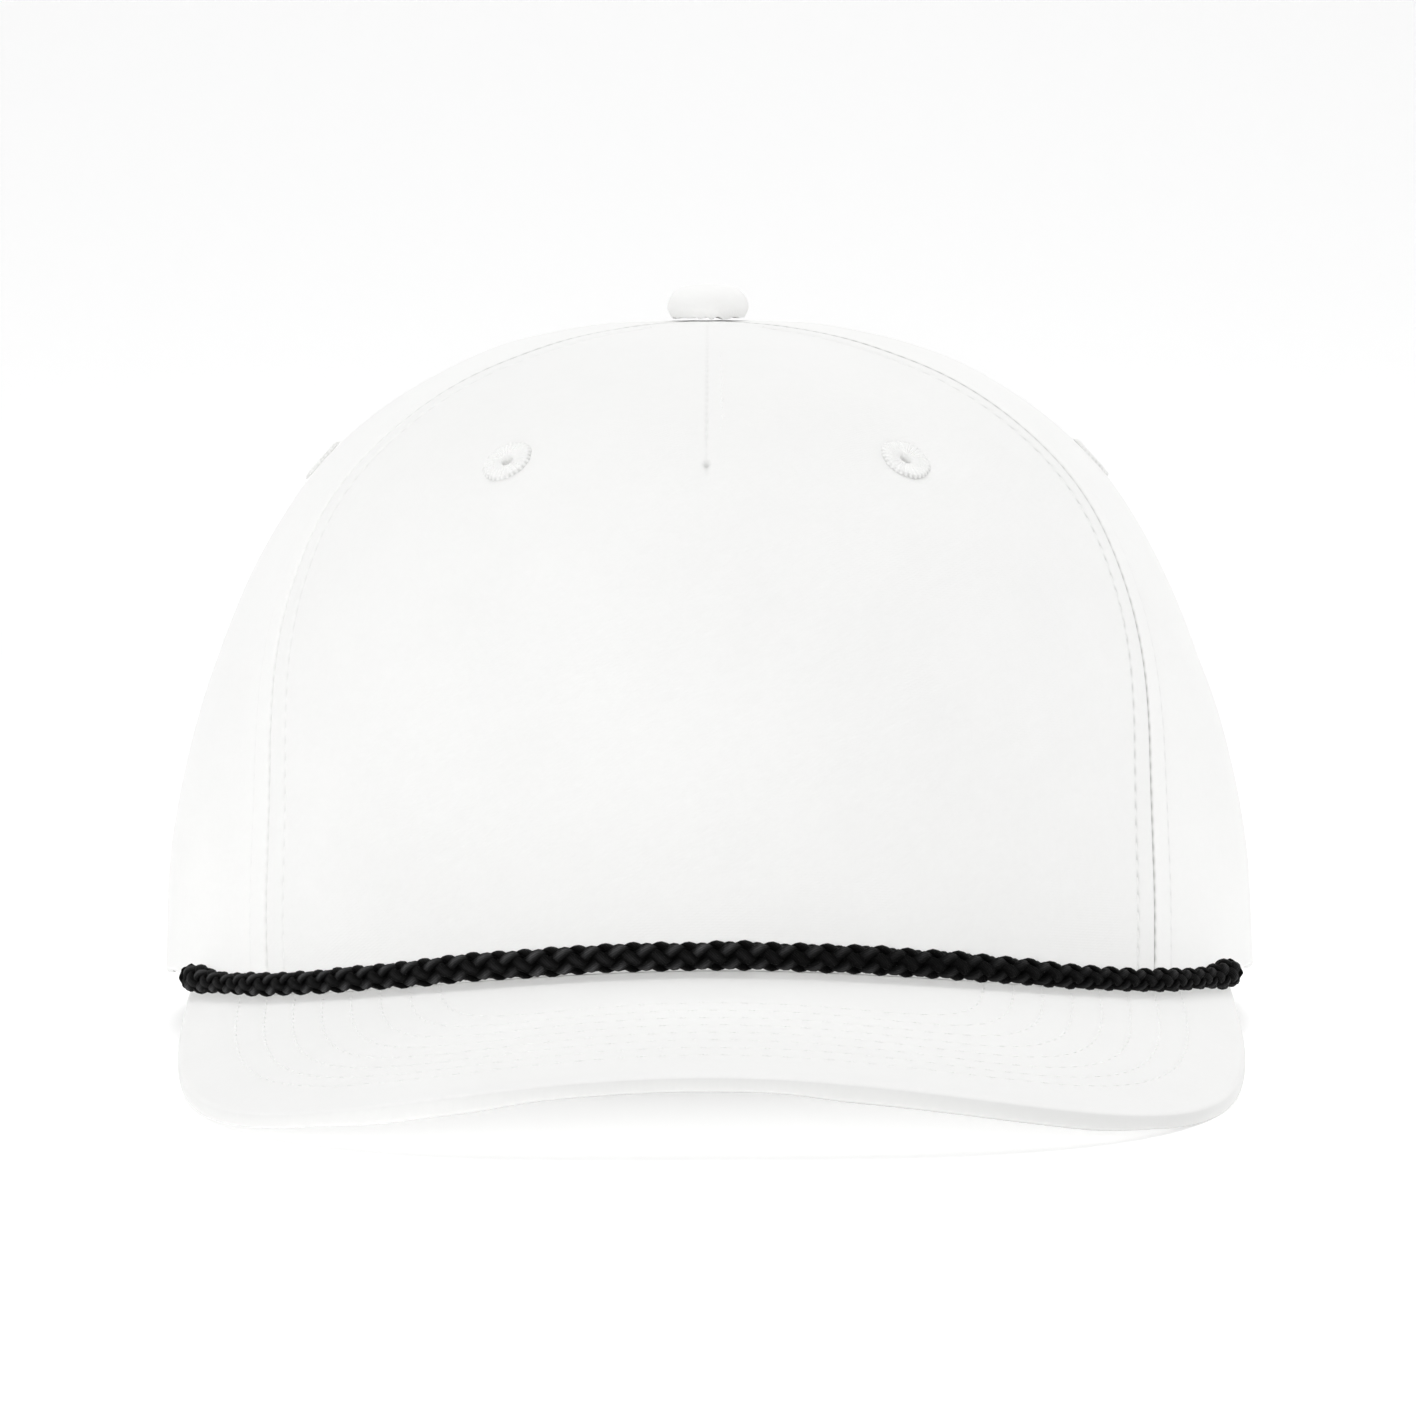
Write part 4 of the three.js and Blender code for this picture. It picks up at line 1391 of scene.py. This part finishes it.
def stripSection(corner, steps=4, rowsUp=8):
    # a long upright section with rounded corners: shares of the thickness and of the height, clockwise
    section = [(0.0, i / rowsUp) for i in range(rowsUp + 1)]
    section += [(1.0, 1 - i / rowsUp) for i in range(rowsUp + 1)]
    rounded = []
    for i, (inward, up) in enumerate(section):
        if 0 < up < 1:
            rounded.append((inward, up, 0.0, 0.0))
            continue
        for k in range(steps + 1):
            turn = math.pi / 2 * k / steps
            climbing = (inward == 0) == (up == 1)
            s, c = (math.sin(turn), math.cos(turn)) if climbing else (math.cos(turn), math.sin(turn))
            rounded.append((inward, up, corner * (1 - c) * (1 - 2 * inward), corner * (1 - s) * (1 - 2 * up)))
    rounded.append(rounded[0])
    return rounded


def makeStrip(name, azimuths, shape, corner):
    # a strip carried round inside the rim; shape gives depth, thickness, bottom and top at an azimuth
    section = stripSection(corner)

    @lru_cache(maxsize=None)
    def station(row):
        azimuth = azimuths[row]
        rim, out = crownPoint(azimuth, 0), rimOutward(azimuth)
        near, thickness, bottom, top = shape(azimuth, rim)
        return rim, out, near, thickness, bottom, top, leanInside(azimuth, max(top - rim.z, 0))

    def place(column, row):
        inward, up, nudgeIn, nudgeUp = section[column]
        rim, out, near, thickness, bottom, top, lean = station(row)
        depth = near + lean * up * up + inward * thickness + nudgeIn
        point = rim - out * depth
        point.z = lerp(bottom, top, up) + nudgeUp
        return point

    def clothMap(column, row):
        return row, section[column][1] * band["height"]

    piece, _ = layGrid(name, len(section) - 1, len(azimuths) - 1, place, clothMap)
    closeSkin(piece)
    return piece


def makeSweatband():
    end = azimuthAtX(arch["halfWidth"] + band["endMargin"])
    lapStart = azimuthAtX(strap["halfLength"] + band["lapLength"])
    lapFull = (lapStart + azimuthAtX(strap["halfLength"])) / 2

    def shape(azimuth, rim):
        near = crown["wallFront"] + crown["sewnGap"]
        near += band["lap"] * smoothstep(abs(azimuth), lapStart, lapFull)
        down = brim["thickness"] * (1 - smoothstep(abs(azimuth), *band["overBrim"]))
        ripple = band["ripple"] * noise.noise(rim / band["rippleSize"])
        bottom, top = max(band["offTable"], rim.z - down), rim.z + band["height"] + ripple
        return near, band["thickness"] + ripple * 0.4, bottom, top

    azimuths = [lerp(-end, end, i / band["stations"]) for i in range(band["stations"] + 1)]
    piece = makeStrip("sweatbandCover", azimuths, shape, band["corner"])
    dress(piece, "trim", ["sweatband"])

    rows = []
    for below in band["rowsBelowTop"]:
        points = []
        for azimuth in azimuths:
            rim, out = crownPoint(azimuth, 0), rimOutward(azimuth)
            near, thickness, bottom, top = shape(azimuth, rim)
            up = (top - below - bottom) / (top - bottom)
            spot = rim - out * (near + thickness + leanInside(azimuth, band["height"]) * up * up + 0.02)
            spot.z = top - below
            points.append((spot, -out))
        rows.append(walk(points, stitch["brimPitch"]))
    sewRows("sweatbandStitches", rows)


makeSweatband()


def makeStrap():
    face, lap = crown["wallSoft"] + crown["sewnGap"], strap["lapThickness"]

    def strip(name, halfLength, stations, near, thickness):
        half = 180 - azimuthAtX(halfLength)
        azimuths = [180 + half * (2 * i / stations - 1) for i in range(stations + 1)]

        def shape(azimuth, rim):
            left = halfLength * (1 - abs(azimuth - 180) / half)
            cut = turnIn(left, strap["endRound"])
            return near, thickness, cut, strap["height"] - cut

        return makeStrip(name, azimuths, shape, strap["corner"])

    inner = strip("backStrap", strap["halfLength"], strap["stations"], face, strap["thickness"])
    outer = strip("strapLap", strap["lapHalfLength"], strap["lapStations"], face - lap, lap - 0.05)
    studs = []
    for number in range(strap["studs"]):
        x = strap["studPitch"] * (number - (strap["studs"] - 1) / 2)
        azimuth = 360 - azimuthAtX(-x) if x < 0 else azimuthAtX(max(x, 0.001))
        out = rimOutward(azimuth)
        seat = crownPoint(azimuth, 0) + out * (lap - face)
        seat.z = strap["height"] / 2
        studs.append(makeStud(seat, out))
    return joinInto(inner, [outer, *studs])


def makeStud(seat, out):
    turns = 32
    up = Vector((0, 0, 1))
    across = up.cross(out).normalized()

    def place(column, row):
        radius, along = studProfile[row]
        return seat + out * along + swing(across, up, 2 * math.pi * column / turns) * radius

    piece, _ = layGrid("stud", turns, len(studProfile) - 1, place, lambda column, row: (column, row))
    closeSkin(piece)
    return piece


dress(makeStrap(), "strap", ["back_strap"], smoothUnder=40)
print("pieces made")


# Stage, light and camera
studio = {
    "floorHalf": 3.0,  # metres
    "sweepHeight": 3.0,
    "floor": "#fbfbfb",
    "floorGlow": 0.35,
    "calmBehind": (0.25, 0.7, 0.5),  # the glow is fainter by this, this far back, over this width
    "world": 0.32,
    "aim": (0, 0, 0.05),
}
# Place and size in metres, and power in watts
lamps = {
    "frontLight": ((-0.4, -2.0, 0.3), (0.9, 0.4), 12.6),
    "leftRimLight": ((-1.5, 0.7, 0.8), (0.8, 1.4), 4.0),
    "rightRimLight": ((1.5, 0.7, 0.8), (0.8, 1.4), 7.3),
    "topLight": ((0, 0.1, 1.7), (1.6, 1.6), 17),
}


def makeStage():
    selectOnly()
    bpy.ops.mesh.primitive_plane_add(size=2 * studio["floorHalf"])
    floor = bpy.context.object
    floor.name = "floor"
    editAll(floor)
    bpy.ops.mesh.select_all(action="DESELECT")
    bpy.ops.object.mode_set(mode="OBJECT")
    for edge in floor.data.edges:
        edge.select = all(floor.data.vertices[i].co.y > 0 for i in edge.vertices)
    bpy.ops.object.mode_set(mode="EDIT")
    bpy.ops.mesh.extrude_region_move(TRANSFORM_OT_translate={"value": (0, 0, studio["sweepHeight"])})
    bpy.ops.object.mode_set(mode="OBJECT")
    applyModifier(floor, "BEVEL", {"width": 1.2, "segments": 16, "limit_method": "ANGLE"})
    bpy.ops.object.shade_smooth()
    # the paper floor glows and lights the cap from below: a painted glow, fainter a little way behind the cap
    material, tree = newMaterial("matGlowingStudioPaper")
    place = addNode(tree, "TexCoord", output="Object")
    along = addNode(tree, "SeparateXYZ", {}, {"Vector": place}, "Y")
    fainter, middle, width = studio["calmBehind"]
    glow = addNode(tree, "Math", timesPlus, [bell(tree, along, middle, width), -fainter, studio["floorGlow"]])
    look = {"Base Color": linear(studio["floor"]), "Roughness": 0.95, "Emission Color": linear("#ffffff")}
    finishMaterial(tree, {**look, "Emission Strength": glow})
    floor.data.materials.append(material)


def addLight(name, place, size, power):
    bpy.ops.object.light_add(type="AREA", location=place)
    light = bpy.context.object
    light.name = name
    light.data.shape = "RECTANGLE"
    light.data.size, light.data.size_y = size
    light.data.energy = power
    light.rotation_mode = "QUATERNION"
    light.rotation_quaternion = (Vector(studio["aim"]) - Vector(place)).to_track_quat("-Z", "Y")


def lightStudio():
    world = bpy.data.worlds.new("studioWorld")
    bpy.context.scene.world = world
    world.use_nodes = True
    background = world.node_tree.nodes["Background"].inputs
    background["Color"].default_value = linear("#ffffff")
    background["Strength"].default_value = studio["world"]
    for name, settings in lamps.items():
        addLight(name, *settings)


def addCamera():
    elevation, turn = math.radians(camera["elevation"]), math.radians(camera["turn"])
    aim = Vector((0, crown["middleY"], camera["aimHeight"])) * mm
    level = math.cos(elevation)
    back = Vector((-level * math.sin(turn), -level * math.cos(turn), math.sin(elevation)))
    bpy.ops.object.camera_add(location=aim + back * camera["distance"] * mm)
    view = bpy.context.object
    view.rotation_mode = "QUATERNION"
    roll = Quaternion((0, 0, 1), math.radians(-camera["roll"]))
    view.rotation_quaternion = (-back).to_track_quat("-Z", "Y") @ roll
    view.data.lens = camera["lens"]
    view.data.sensor_width = camera["sensor"]
    view.data.clip_start, view.data.clip_end = 0.05, 50
    bpy.context.scene.camera = view


makeStage()
lightStudio()
addCamera()
bpy.context.scene.view_settings.view_transform = "Standard"
print("stage, lights and camera made")
